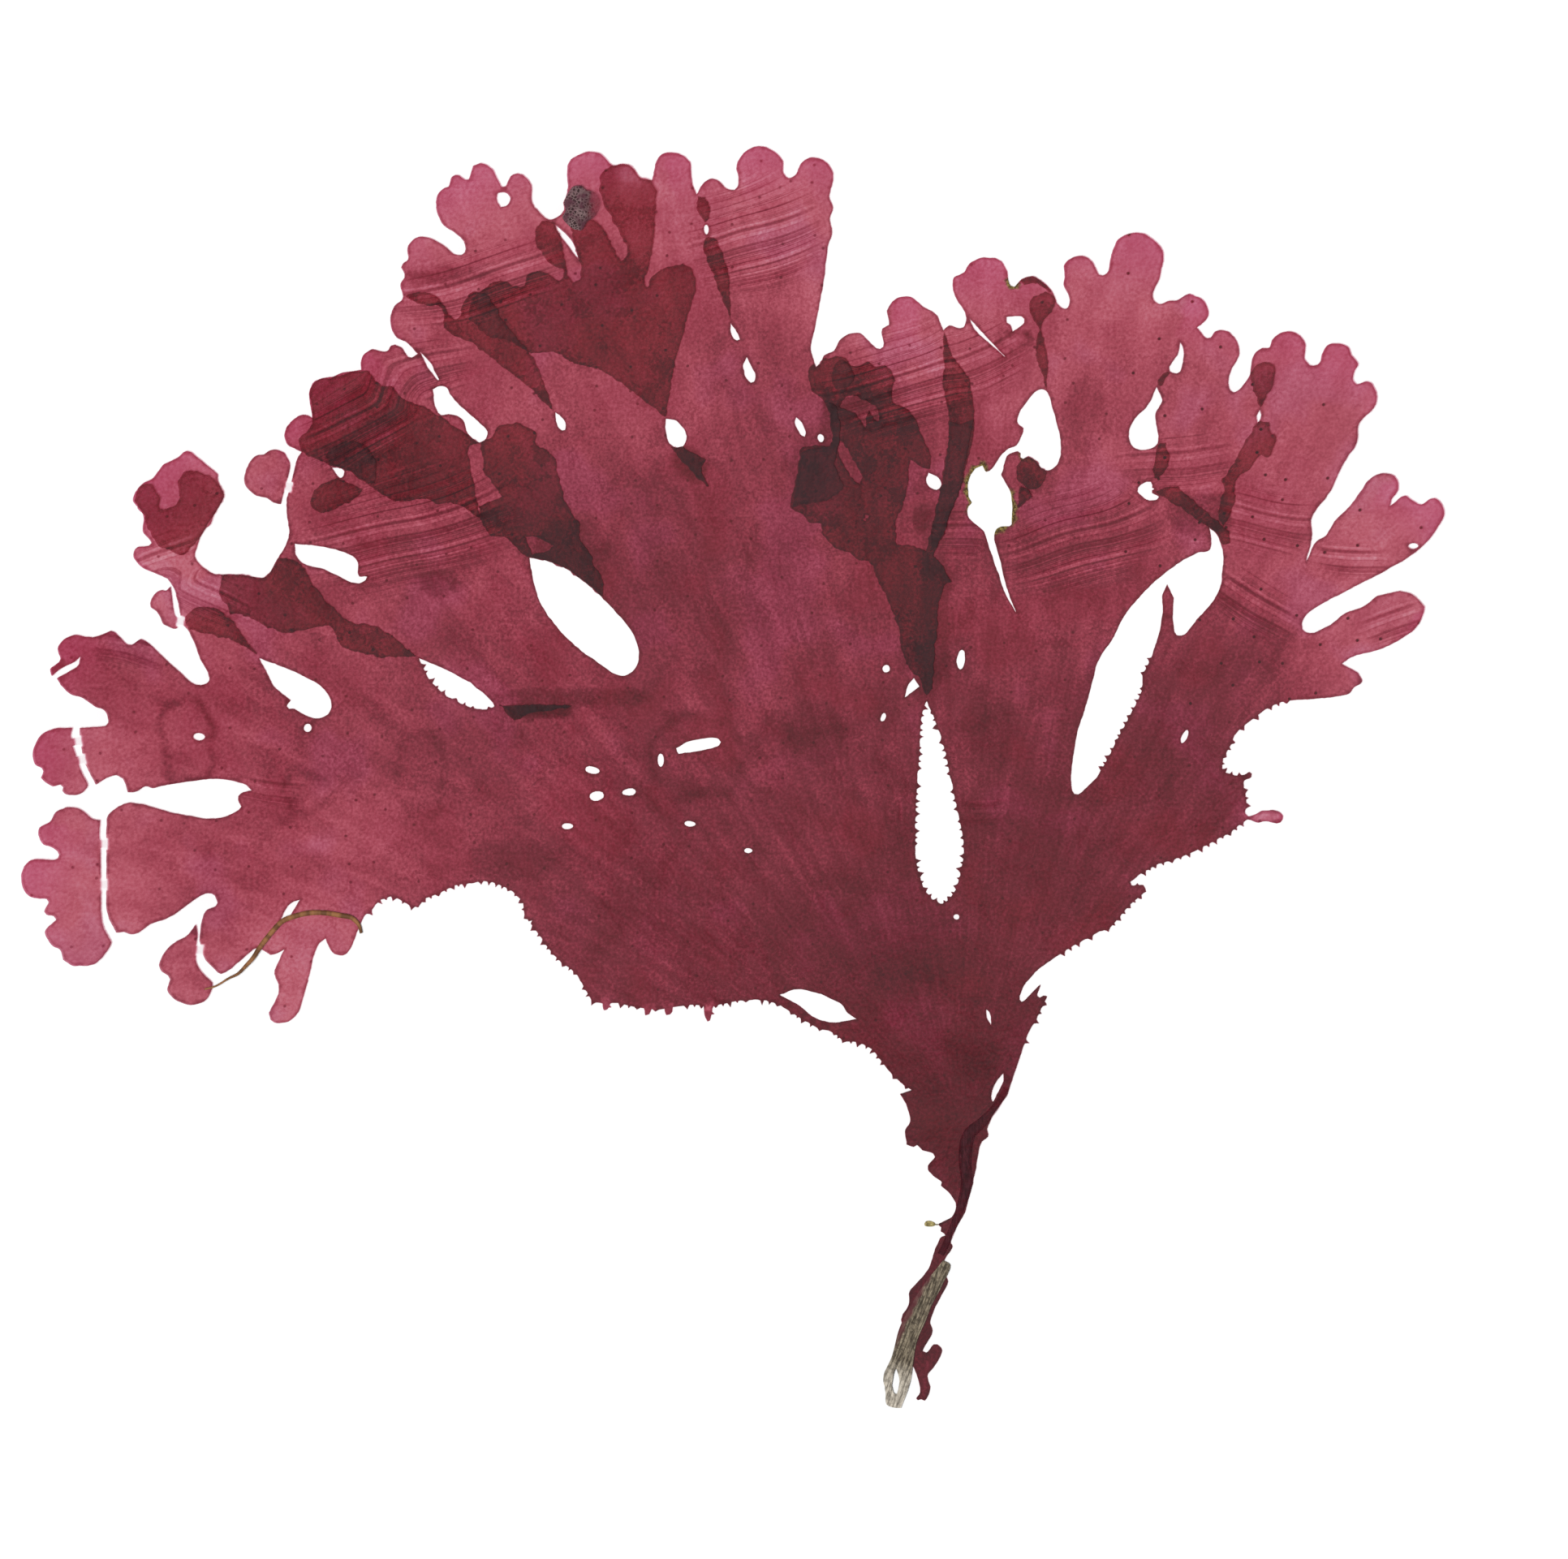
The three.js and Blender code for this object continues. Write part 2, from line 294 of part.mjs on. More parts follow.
// Small leaflets that hang from the lower margin.
const LEAFLETS = [
  [['plain', [867, 1234, 880, 1234, 877, 1247, 873, 1260, 868, 1250]]],
  [['plain', [792, 1238, 804, 1238, 801, 1249, 795, 1251]]],
  [['plain', [817, 1237, 829, 1237, 827, 1249, 821, 1251]]],
  [['plain', [741, 1230, 752, 1231, 750, 1243, 744, 1245]]],
];

// Small round holes: centre x, centre y, half length, half width, turn in degrees.
const PIN_HOLES = [
  [245, 908, 7.5, 4.5, 0],
  [814, 937, 4, 8, 0],
  [730, 949, 9, 4.5, -8],
  [735, 981, 9, 6, 10],
  [775, 976, 9, 4.5, 5],
  [699, 1018, 7, 3.5, 0],
  [850, 1015, 7, 3.5, -5],
  [922, 1048, 5, 3, 0],
  [1184, 813, 5, 12.5, -6],
  [1092, 824, 4.5, 4.5, 0],
  [1088, 884, 3, 5.5, -25],
  [870, 283, 3, 6, 0],
  [1459, 908, 3.5, 9, -25],
  [1011, 540, 4, 5, 0],
  [379, 897, 5, 5, 0],
  [1741, 673, 6.5, 3.5, 5],
  [1178, 1130, 3.5, 3.5, 0],
];

// Overlaps and folds. Each lies one layer or two above the blade, and is joined to the layer below
// along its root line. 'windows' are places where only one layer lies.
const FLAPS = [
  {
    layer: 1,
    edge: [['plain', [342, 688, 355, 689, 366, 692, 376, 705, 386, 720, 400, 739, 415, 755, 427, 764,
      441, 770, 449, 767, 462, 773, 475, 778, 490, 790, 500, 798, 513, 809]],
    ['plain', [513, 809, 490, 811, 470, 810, 455, 807, 440, 803, 427, 799, 418, 793, 412, 777, 405, 771,
      382, 772, 366, 777, 345, 780, 325, 772, 308, 763, 294, 757, 284, 759, 280, 747, 272, 737,
      273, 709]],
    ['plain', [273, 709, 292, 708, 312, 710, 325, 712, 333, 705, 339, 694, 342, 688]]],
    root: [276, 716, 276, 742, 288, 756],
  },
  {
    layer: 1,
    edge: [['plain', [247, 661, 239, 671, 225, 683, 212, 679, 199, 675, 190, 661, 180, 647, 178, 640,
      171, 626, 164, 617, 167, 607, 173, 598, 182, 594, 194, 607, 196, 625, 200, 628, 216, 622,
      222, 610, 220, 592, 226, 582, 245, 580, 262, 590, 276, 611, 259, 640]]],
    root: [272, 612, 256, 639, 244, 660],
  },
  {
    layer: 1,
    edge: [['plain', [228, 760, 236, 751, 249, 748, 263, 749, 273, 755, 284, 764, 294, 776, 304, 788,
      316, 806]],
    ['plain', [316, 806, 304, 801, 292, 792, 271, 784, 251, 778, 232, 774, 228, 760]]],
    root: [238, 771, 270, 779],
  },
  {
    layer: 1,
    edge: [['plain', [445, 457, 456, 459, 462, 467, 469, 476, 481, 476, 490, 483, 496, 492, 514, 496,
      537, 510, 548, 518, 570, 532, 590, 546]],
    ['plain', [590, 546, 578, 549, 578, 570, 581, 591, 584, 609, 588, 625, 591, 638]],
    ['plain', [591, 638, 577, 629, 559, 620, 537, 621, 526, 615, 503, 618, 481, 615, 467, 603, 447, 592,
      429, 581, 407, 574, 389, 565, 371, 555]],
    ['plain', [371, 555, 368, 541, 380, 530, 386, 517, 383, 504, 382, 490, 381, 483, 385, 473, 394, 467,
      408, 465, 420, 460, 434, 458, 445, 457]]],
    root: [490, 489, 514, 500, 560, 529],
  },
  {
    layer: 2,
    edge: [['plain', [402, 562, 412, 550, 425, 544, 440, 545, 453, 552, 463, 570, 464, 585, 460, 597,
      447, 591, 429, 580, 407, 573]]],
    root: [411, 571, 443, 586],
  },
  {
    layer: 1,
    edge: [['plain', [592, 547, 592, 557, 596, 568, 594, 579, 604, 591, 611, 602, 619, 613, 610, 616,
      601, 621, 589, 624]],
    ['plain', [589, 624, 592, 638, 597, 650, 606, 660, 620, 661, 630, 667, 638, 680, 648, 687]],
    ['plain', [648, 687, 666, 689, 682, 694, 700, 702, 715, 713, 731, 726, 744, 738, 743, 722, 741, 710,
      730, 697, 729, 687, 721, 674, 712, 661, 713, 643, 706, 633, 698, 623, 691, 599, 688, 584, 683, 566,
      675, 555, 663, 551, 661, 543, 657, 530, 647, 525, 639, 521, 631, 524, 620, 524, 611, 528, 606, 538,
      592, 547]]],
    windows: [[['plain', [646, 661, 660, 662, 672, 667, 682, 673, 672, 680, 656, 683]]]],
    root: [738, 724, 726, 697],
  },
  {
    layer: 1,
    edge: [['plain', [682, 508, 674, 480, 664, 455, 653, 436, 639, 416, 618, 393, 610, 376, 601, 365,
      592, 362, 583, 361, 575, 365, 569, 378, 570, 386, 560, 393]],
    ['plain', [560, 393, 553, 388, 543, 370, 522, 359, 500, 365]],
    ['plain', [500, 365, 508, 369, 520, 375, 535, 376, 544, 379, 547, 386, 546, 401, 551, 407, 560, 414,
      578, 420, 593, 432, 610, 445, 630, 461, 655, 480, 682, 508]]],
    root: [580, 417, 613, 441, 658, 477],
  },
  {
    layer: 1,
    edge: [['plain', [820, 514, 805, 503, 788, 490, 770, 476, 758, 466, 739, 455, 720, 450, 701, 445,
      693, 438, 683, 434, 670, 435, 655, 436, 639, 427, 624, 419, 608, 417, 595, 411, 585, 401,
      577, 391, 583, 367, 592, 361, 596, 356, 603, 350, 612, 348, 622, 348, 630, 351, 639, 354,
      647, 350, 648, 341, 655, 336, 666, 335, 678, 340, 685, 346, 693, 343, 696, 335, 690, 330,
      680, 326, 670, 316, 662, 303, 659, 288, 664, 276, 674, 271]],
    ['plain', [674, 271, 683, 275, 691, 295, 697, 329, 700, 343, 706, 349, 713, 345, 716, 332, 712, 322,
      704, 288, 699, 267, 714, 267, 731, 272, 737, 277, 748, 291, 760, 316, 766, 322, 773, 313, 771, 301,
      760, 282, 750, 262, 741, 245, 740, 218, 743, 210, 753, 204]],
    ['plain', [753, 204, 765, 202, 776, 204, 783, 211, 788, 219, 795, 221, 802, 223]],
    ['plain', [802, 223, 808, 234, 807, 252, 807, 270, 804, 291, 802, 316, 799, 330, 793, 350, 797, 356,
      804, 340, 816, 330, 831, 326, 842, 325, 851, 330, 854, 343, 857, 352, 852, 372, 848, 386, 841, 411,
      833, 440, 827, 464, 822, 494, 820, 514]]],
    root: [818, 494, 829, 440, 844, 386],
  },
  {
    layer: 2,
    edge: [['plain', [577, 391, 583, 368, 592, 362, 601, 365, 610, 376, 618, 393, 639, 416, 653, 436,
      639, 427, 624, 419, 608, 417, 595, 411, 585, 401]]],
    root: [588, 402, 609, 413],
  },
  {
    layer: 1,
    edge: [['plain', [869, 293, 880, 293, 886, 309, 897, 335, 900, 360, 901, 395, 894, 379, 887, 355,
      875, 328, 866, 306]]],
    root: [871, 300, 882, 328],
  },
  {
    layer: 1,
    edge: [['plain', [859, 241, 869, 245, 875, 256, 875, 265, 870, 275, 864, 270, 859, 260, 857, 250]]],
    root: [862, 248, 864, 264],
  },
  {
    layer: 1,
    edge: [['plain', [1020, 441, 1030, 440, 1040, 441, 1047, 445, 1052, 452, 1062, 447, 1072, 446,
      1076, 452, 1082, 453, 1090, 451, 1098, 456, 1101, 468, 1100, 480, 1098, 492, 1103, 497, 1112, 500,
      1121, 508, 1126, 521, 1134, 530, 1138, 543, 1144, 555, 1147, 570, 1144, 578, 1136, 576,
      1121, 566, 1119, 580, 1118, 604, 1115, 617, 1109, 630, 1104, 642, 1102, 660, 1105, 671]],
    ['plain', [1105, 671, 1118, 673, 1130, 674, 1140, 680, 1150, 685, 1157, 690, 1161, 698, 1166, 710,
      1173, 717, 1164, 721, 1158, 738, 1156, 752, 1153, 770, 1152, 790, 1149, 810, 1149, 830, 1147, 848,
      1141, 862]],
    ['plain', [1141, 862, 1135, 850, 1133, 836, 1123, 829, 1118, 812, 1108, 790, 1107, 775, 1103, 764,
      1096, 750, 1089, 737, 1083, 722, 1078, 710, 1072, 693]],
    ['plain', [1072, 693, 1060, 691, 1048, 682, 1035, 678, 1026, 673, 1020, 666, 1012, 658, 1014, 647,
      1008, 643, 993, 642, 985, 631, 973, 625]],
    ['plain', [973, 625, 981, 590, 987, 553, 1000, 549, 1012, 549, 1022, 553]],
    ['plain', [1022, 553, 1026, 540, 1024, 525, 1018, 508, 1017, 497, 1008, 489, 1000, 480, 996, 464,
      998, 450, 1008, 446, 1020, 441]]],
    windows: [
      [['plain', [1034, 501, 1043, 489, 1056, 488, 1068, 497, 1080, 503, 1084, 514, 1081, 521, 1076, 512,
        1070, 508, 1067, 516, 1068, 527, 1062, 524, 1056, 512, 1047, 506]]],
      [['plain', [1034, 543, 1041, 549, 1048, 562, 1057, 577, 1063, 590, 1060, 598, 1052, 593, 1042, 577,
        1034, 561]]],
      [['plain', [1066, 634, 1070, 636, 1066, 643, 1062, 641]]],
    ],
    root: [1078, 700, 1103, 752, 1116, 798],
  },
  {
    layer: 2,
    edge: [['plain', [1021, 497, 1030, 500, 1034, 520, 1035, 540, 1031, 556, 1028, 572, 1034, 588,
      1038, 600, 1030, 610, 1018, 616, 1000, 619, 977, 624]],
    ['plain', [977, 624, 983, 590, 989, 556, 1001, 553, 1013, 552, 1023, 548, 1026, 535, 1024, 516,
      1021, 497]]],
    root: [982, 612, 992, 562],
  },
  {
    layer: 2,
    edge: [['plain', [1024, 462, 1026, 452, 1034, 445, 1043, 446, 1050, 454, 1052, 465, 1047, 476,
      1038, 484, 1029, 478]]],
    root: [1047, 457, 1043, 474],
  },
  {
    layer: 1,
    edge: [['plain', [1163, 409, 1168, 420, 1172, 436, 1180, 445, 1188, 458, 1195, 470, 1199, 485,
      1200, 505, 1199, 525, 1197, 543, 1192, 562, 1188, 582, 1183, 602, 1175, 621, 1167, 641,
      1160, 661, 1155, 675, 1150, 688]],
    ['plain', [1150, 688, 1140, 684]],
    ['plain', [1140, 684, 1143, 668, 1147, 653, 1151, 637, 1154, 620, 1158, 604, 1161, 588, 1164, 570,
      1167, 550, 1169, 531, 1169, 515, 1166, 497, 1163, 480, 1164, 464, 1162, 448, 1162, 430,
      1163, 409]]],
    root: [1168, 440, 1170, 490, 1173, 530],
  },
  {
    layer: 2,
    edge: [['plain', [1170, 519, 1182, 522, 1192, 520, 1199, 517]],
      ['plain', [1199, 517, 1196, 543, 1191, 562, 1187, 582, 1182, 602, 1174, 621, 1166, 641, 1159, 661,
        1153, 676, 1146, 680]],
      ['plain', [1146, 680, 1147, 662, 1152, 637, 1156, 618, 1160, 600, 1164, 580, 1168, 550,
        1170, 519]]],
    root: [1192, 535, 1178, 600],
  },
  {
    layer: 1,
    edge: [['plain', [1270, 371, 1276, 364, 1285, 361, 1294, 362, 1300, 369, 1298, 379, 1292, 390,
      1285, 397, 1283, 408, 1285, 421, 1289, 434, 1291, 448, 1291, 462, 1289, 480]],
    ['plain', [1289, 480, 1285, 470, 1282, 455, 1278, 442, 1275, 430, 1277, 420, 1279, 409, 1277, 398,
      1271, 389, 1268, 379, 1270, 371]]],
    root: [1275, 375, 1281, 405, 1281, 430],
  },
  {
    layer: 1,
    edge: [['plain', [1252, 578, 1257, 568, 1266, 563, 1275, 566, 1282, 576, 1290, 580, 1287, 592,
      1276, 602, 1262, 600, 1254, 592]]],
    root: [1283, 584, 1273, 596],
  },
  {
    layer: 2,
    edge: [['plain', [1256, 598, 1265, 603, 1272, 612, 1262, 620, 1252, 627, 1257, 612]]],
    root: [1258, 600, 1266, 606],
    footBelow: 2,
  },
  {
    layer: 1,
    edge: [['plain', [1256, 346, 1264, 342, 1271, 340, 1281, 345, 1290, 353, 1297, 361, 1290, 360,
      1280, 351, 1270, 348, 1262, 350]]],
    root: [1268, 344, 1282, 349],
  },
  {
    layer: 1,
    edge: [['plain', [1424, 606, 1434, 602, 1444, 599, 1451, 600]],
      ['plain', [1451, 600, 1463, 610, 1475, 622, 1486, 632, 1500, 645, 1515, 658, 1515, 668,
        1508, 672, 1498, 656, 1480, 645, 1460, 631, 1440, 618, 1424, 606]]],
    root: [1448, 604, 1482, 633],
  },
  {
    layer: 1,
    edge: [['plain', [1550, 520, 1556, 518, 1565, 522, 1563, 531, 1572, 539, 1568, 552, 1564, 563,
      1553, 560, 1547, 569, 1537, 580, 1524, 589]],
    ['plain', [1524, 589, 1524, 602, 1522, 614, 1518, 628, 1512, 640, 1508, 651, 1503, 645, 1501, 630,
      1503, 612, 1508, 597, 1506, 592, 1520, 570, 1535, 545, 1545, 528, 1550, 520]]],
    root: [1563, 545, 1540, 568],
  },
  {
    layer: 1,
    edge: [['plain', [1541, 459, 1547, 450, 1556, 447, 1568, 448, 1572, 458, 1568, 474, 1561, 487,
      1554, 503, 1548, 490, 1543, 476]]],
    root: [1566, 456, 1558, 484],
  },
  {
    layer: 1,
    edge: [['plain', [1426, 471, 1430, 464, 1437, 458, 1442, 458, 1436, 466, 1429, 475]]],
    root: [1430, 468, 1436, 462],
  },
  {
    layer: 1,
    edge: [['plain', [1427, 549, 1431, 546, 1437, 549, 1440, 562, 1438, 575, 1432, 584, 1424, 591,
      1421, 580, 1424, 566]]],
    root: [1435, 556, 1431, 580],
  },
  {
    layer: 1,
    edge: [['plain', [613, 868, 625, 870, 635, 867, 645, 870, 670, 871, 705, 870]],
      ['plain', [705, 870, 680, 877, 652, 880, 644, 882, 635, 889, 624, 881, 613, 868]]],
    root: [630, 874, 665, 874],
  },
  {
    layer: 1,
    edge: [['plain', [826, 551, 838, 550, 850, 555, 862, 561, 869, 568, 863, 574, 873, 600]],
      ['plain', [873, 600, 859, 589, 847, 575, 835, 563, 826, 551]]],
    root: [832, 554, 862, 585],
  },
  {
    layer: 1,
    edge: [['plain', [387, 605, 399, 596, 414, 591, 432, 597, 447, 603, 439, 614, 425, 621, 412, 628,
      392, 632, 383, 621]]],
    root: [392, 612, 436, 602],
  },
];

// Other pieces.
const RIB = [1240, 1340, 1228, 1362, 1209, 1384, 1193, 1400, 1189, 1430, 1191, 1458, 1184, 1486,
  1175, 1510, 1166, 1532, 1159, 1546];
const CRUST = [['plain', [1162, 1553, 1171, 1559, 1164, 1574, 1152, 1599, 1141, 1622, 1131, 1644,
  1128, 1665, 1125, 1683, 1121, 1705, 1115, 1720, 1110, 1735]],
['plain', [1110, 1735, 1099, 1734, 1092, 1730, 1091, 1712, 1088, 1699, 1092, 1685, 1099, 1671,
  1104, 1652, 1109, 1634, 1120, 1614, 1132, 1592, 1146, 1573, 1162, 1553]]];
const CRUST_FORK = [['plain', [1103, 1683, 1107, 1694, 1108, 1706, 1103, 1719, 1099, 1708, 1098, 1694]]];
const CRUST_FIBRES = [
  [1160, 1560, 1142, 1592, 1124, 1630, 1112, 1662, 1098, 1688, 1095, 1712, 1100, 1728],
  [1165, 1562, 1150, 1594, 1136, 1624, 1124, 1654, 1120, 1684, 1112, 1708, 1106, 1728],
  [1152, 1580, 1134, 1614, 1120, 1648, 1113, 1680],
];
const CRUST_THICKNESS = 0.7;
const STRAND = [252, 1219, 266, 1215, 281, 1206, 293, 1200, 303, 1190, 312, 1180, 321, 1166, 336, 1147,
  348, 1135, 363, 1129, 381, 1125, 400, 1125, 419, 1128, 433, 1131, 442, 1140, 445, 1150];
const STRAND_WIDTH = 0.6;
const PATCH = [['plain', [693, 268, 697, 258, 695, 250, 700, 238, 706, 230, 716, 229, 722, 234, 731, 236,
  739, 246, 738, 258, 732, 268, 722, 274, 716, 284, 706, 282, 700, 276]]];
const BUD = [['plain', [1152, 1507, 1149, 1505, 1144, 1504, 1139, 1507, 1140, 1511, 1145, 1512,
  1149, 1511, 1152, 1510]]];
const MESH_GAP = 0.3;

const wasm = await Module();
wasm.setup();

let seed = 7;

// A number from 0 to 1 that comes out the same in every build.
function chance() {
  seed = (seed * 16807) % 2147483647;
  return seed / 2147483647;
}

function toX(unitsX) {
  return (unitsX - CENTRE_X) * MM_PER_UNIT;
}

function toY(unitsY) {
  return (CENTRE_Y - unitsY) * MM_PER_UNIT;
}

function toPoints(pairs) {
  const points = [];
  for (let i = 0; i < pairs.length; i += 2) {
    points.push(new THREE.Vector2(toX(pairs[i]), toY(pairs[i + 1])));
  }
  return points;
}

function smoothstep(t) {
  const u = Math.min(1, Math.max(0, t));
  return u * u * (3 - 2 * u);
}

function gridPoint(column, row) {
  const x = -SHEET_HALF_X + (2 * SHEET_HALF_X * column) / COLUMNS;
  const y = -SHEET_HALF_Y + (2 * SHEET_HALF_Y * row) / ROWS;
  return new THREE.Vector2(x, y);
}

// Distance outside the flat triangle that the blade rests on, 0 inside it.
function outsideRest(x, y) {
  let outside = 0;
  for (let i = 0; i < 3; i += 1) {
    const from = gridPoint(...REST_CORNERS[i]);
    const edge = gridPoint(...REST_CORNERS[(i + 1) % 3]).sub(from);
    const across = edge.x * (y - from.y) - edge.y * (x - from.x);
    outside = Math.max(outside, -across / edge.length());
  }
  return outside;
}

// Height of the blade's underside above the surface it lies on.
function liftAt(x, y) {
  const dx = (x - FLAT_X) / FLAT_HALF_X;
  const dy = (y - FLAT_Y) / FLAT_HALF_Y;
  const away = smoothstep((Math.hypot(dx, dy) - 1) / 1.1);
  const turn = Math.atan2(dy, dx);
  const ruffle = RUFFLE * Math.sin(RUFFLE_COUNT * turn) * Math.cos(3 * turn + 0.6);
  const stipe = smoothstep((y - STIPE_FLAT_Y) / STIPE_BLEND);
  const rise = REST_RISE * Math.min(1, outsideRest(x, y) / REST_REACH);
  return Math.max(0, TIP_LIFT * away + ruffle * away) * stipe + rise;
}

// Drops points that lie within the tolerance of the line between their neighbours.
function thin(points, tolerance) {
  if (points.length < 3) {
    return points;
  }
  const first = points[0];
  const last = points[points.length - 1];
  const line = new THREE.Line3(new THREE.Vector3(first.x, first.y), new THREE.Vector3(last.x, last.y));
  const nearest = new THREE.Vector3();
  let worst = -1;
  let worstAt = 0;
  for (let i = 1; i < points.length - 1; i += 1) {
    const here = new THREE.Vector3(points[i].x, points[i].y);
    const off = line.closestPointToPoint(here, true, nearest).distanceTo(here);
    if (off > worst) {
      worst = off;
      worstAt = i;
    }
  }
  if (worst < tolerance) {
    return [first, last];
  }
  const head = thin(points.slice(0, worstAt + 1), tolerance);
  const tail = thin(points.slice(worstAt), tolerance);
  return head.slice(0, -1).concat(tail);
}

// A smooth open curve through a run's points, sampled evenly.
function smoothRun(pairs) {
  const ends = toPoints(pairs);
  if (ends.length < 3) {
    return ends;
  }
  const knots = ends.map((p) => new THREE.Vector3(p.x, p.y, 0));
  const curve = new THREE.CatmullRomCurve3(knots, false, 'centripetal');
  const steps = Math.max(4, Math.round(curve.getLength() / SAMPLE));
  return curve.getSpacedPoints(steps).map((p) => new THREE.Vector2(p.x, p.y));
}

// Small teeth along a run. They stand out to the left of the run's direction.
function toothedRun(pairs, side) {
  const ends = toPoints(pairs);
  const knots = ends.map((p) => new THREE.Vector3(p.x, p.y, 0));
  const curve = new THREE.CatmullRomCurve3(knots, false, 'centripetal');
  const length = curve.getLength();
  const count = Math.floor(length / TOOTH_PITCH);
  const points = [ends[0]];
  for (let i = 0; i < count; i += 1) {
    const middle = (i + 0.5 + 0.3 * (chance() - 0.5)) / count;
    const half = (0.5 * TOOTH_WIDTH * (0.75 + 0.5 * chance())) / length;
    const tall = TOOTH_LENGTH * (0.45 + 0.75 * chance());
    const before = curve.getPointAt(middle - half);
    const after = curve.getPointAt(middle + half);
    const along = curve.getTangentAt(middle);
    const tip = curve.getPointAt(middle);
    points.push(new THREE.Vector2(before.x, before.y));
    points.push(new THREE.Vector2(tip.x - along.y * tall * side, tip.y + along.x * tall * side));
    points.push(new THREE.Vector2(after.x, after.y));
  }
  points.push(ends[ends.length - 1]);
  return points;
}

// A closed outline in millimetres from its runs.
function outline(runs, tolerance) {
  let points = [];
  for (const [kind, pairs] of runs) {
    let run = smoothRun(pairs);
    if (runs.length === 1) {
      run.push(run[0].clone());
    }
    if (kind === 'plain') {
      run = thin(run, tolerance);
    } else {
      run = toothedRun(pairs, kind === 'toothed' ? 1 : -1);
    }
    points = points.concat(run.slice(0, -1));
  }
  return points;
}

function toManifold(geometry) {
  const bare = geometry.clone();
  bare.deleteAttribute('normal');
  bare.deleteAttribute('uv');
  const merged = BufferGeometryUtils.mergeVertices(bare, 1e-4);
  const mesh = new wasm.Mesh({
    numProp: 3,
    vertProperties: new Float32Array(merged.attributes.position.array),
    triVerts: new Uint32Array(merged.index.array),
  });
  mesh.merge();
  return new wasm.Manifold(mesh);
}

function toGeometry(solid) {
  const mesh = solid.getMesh();
  const geometry = new THREE.BufferGeometry();
  geometry.setAttribute('position', new THREE.BufferAttribute(mesh.vertProperties.slice(), 3));
  geometry.setIndex(new THREE.BufferAttribute(mesh.triVerts.slice(), 1));
  geometry.computeVertexNormals();
  return geometry;
}

// An upright prism over an outline, from one height to another.
function prism(points, from, to) {
  const shape = new THREE.Shape(points);
  const geometry = new THREE.ExtrudeGeometry(shape, { depth: to - from, bevelEnabled: false });
  geometry.translate(0, 0, from);
  return toManifold(geometry);
}

function cutter(runs, tolerance = MARGIN_TOLERANCE) {
  return prism(outline(runs, tolerance), -4, 12);
}

// A band of one width along a line of points.
function band(points, width) {
  const left = [];
  const right = [];
  for (let i = 0; i < points.length; i += 1) {
    const back = points[Math.max(0, i - 1)];
    const ahead = points[Math.min(points.length - 1, i + 1)];
    const along = ahead.clone().sub(back).normalize();
    const across = new THREE.Vector2(-along.y, along.x).multiplyScalar(width / 2);
    left.push(points[i].clone().add(across));
    right.push(points[i].clone().sub(across));
  }
  return left.concat(right.reverse());
}

function ellipse(x, y, halfX, halfY, degrees) {
  const curve = new THREE.EllipseCurve(
    toX(x),
    toY(y),
    halfX * MM_PER_UNIT,
    halfY * MM_PER_UNIT,
    0,
    Math.PI * 2,
    false,
    THREE.MathUtils.degToRad(degrees),
  );
  return curve.getPoints(12).slice(0, -1);
}

// A sheet that follows the lift of the blade between two heights above it.
function sheet(from, to) {
  const nx = COLUMNS;
  const ny = ROWS;
  const positions = [];
  for (const height of [from, to]) {
    for (let j = 0; j <= ny; j += 1) {
      for (let i = 0; i <= nx; i += 1) {
        const p = gridPoint(i, j);
        positions.push(p.x, p.y, liftAt(p.x, p.y) + height);
      }
    }
  }
  const layer = (nx + 1) * (ny + 1);
  const index = [];
  for (let j = 0; j < ny; j += 1) {
    for (let i = 0; i < nx; i += 1) {
      const a = j * (nx + 1) + i;
      const b = a + 1;
      const c = a + nx + 1;
      const d = c + 1;
      index.push(a, d, b, a, c, d);
      index.push(layer + a, layer + b, layer + d, layer + a, layer + d, layer + c);
    }
  }
  const rim = [];
  for (let i = 0; i < nx; i += 1) {
    rim.push([i, i + 1]);
  }
  for (let j = 0; j < ny; j += 1) {
    rim.push([j * (nx + 1) + nx, (j + 1) * (nx + 1) + nx]);
  }
  for (let i = nx; i > 0; i -= 1) {
    rim.push([ny * (nx + 1) + i, ny * (nx + 1) + i - 1]);
  }
  for (let j = ny; j > 0; j -= 1) {
    rim.push([j * (nx + 1), (j - 1) * (nx + 1)]);
  }
  for (const [a, b] of rim) {
    index.push(a, b, layer + b, a, layer + b, layer + a);
  }
  const geometry = new THREE.BufferGeometry();
  geometry.setAttribute('position', new THREE.Float32BufferAttribute(positions, 3));
  geometry.setIndex(index);
  return toManifold(geometry);
}

// A round rod along a line of points in three dimensions, flattened to an oval.
function rod(points, halfWidth, halfHeight) {
  const curve = new THREE.CatmullRomCurve3(points, false, 'centripetal');
  const oval = new THREE.Shape();
  oval.absellipse(0, 0, halfHeight, halfWidth, 0, Math.PI * 2, false, 0);
  const settings = { steps: points.length * 2, extrudePath: curve, bevelEnabled: false, curveSegments: 4 };
  return toManifold(new THREE.ExtrudeGeometry(oval, settings));
}

// A flap that lies in its layer, with the foot that joins it to the layer below.
function flap(spec) {
  let area = cutter(spec.edge, FLAP_TOLERANCE);
  for (const window of spec.windows ?? []) {
    area = area.subtract(cutter(window, FLAP_TOLERANCE));
  }
  const floor = spec.layer * LAYER_STEP;
  const drop = (spec.footBelow ?? 1) * LAYER_STEP;
  const foot = prism(band(toPoints(spec.root), FOOT_WIDTH), -4, 12);
  const top = sheet(floor, floor + BLADE).intersect(area);
  const post = sheet(floor - drop + FOOT_SINK, floor + FOOT_SINK).intersect(area).intersect(foot);
  return top.add(post);
}

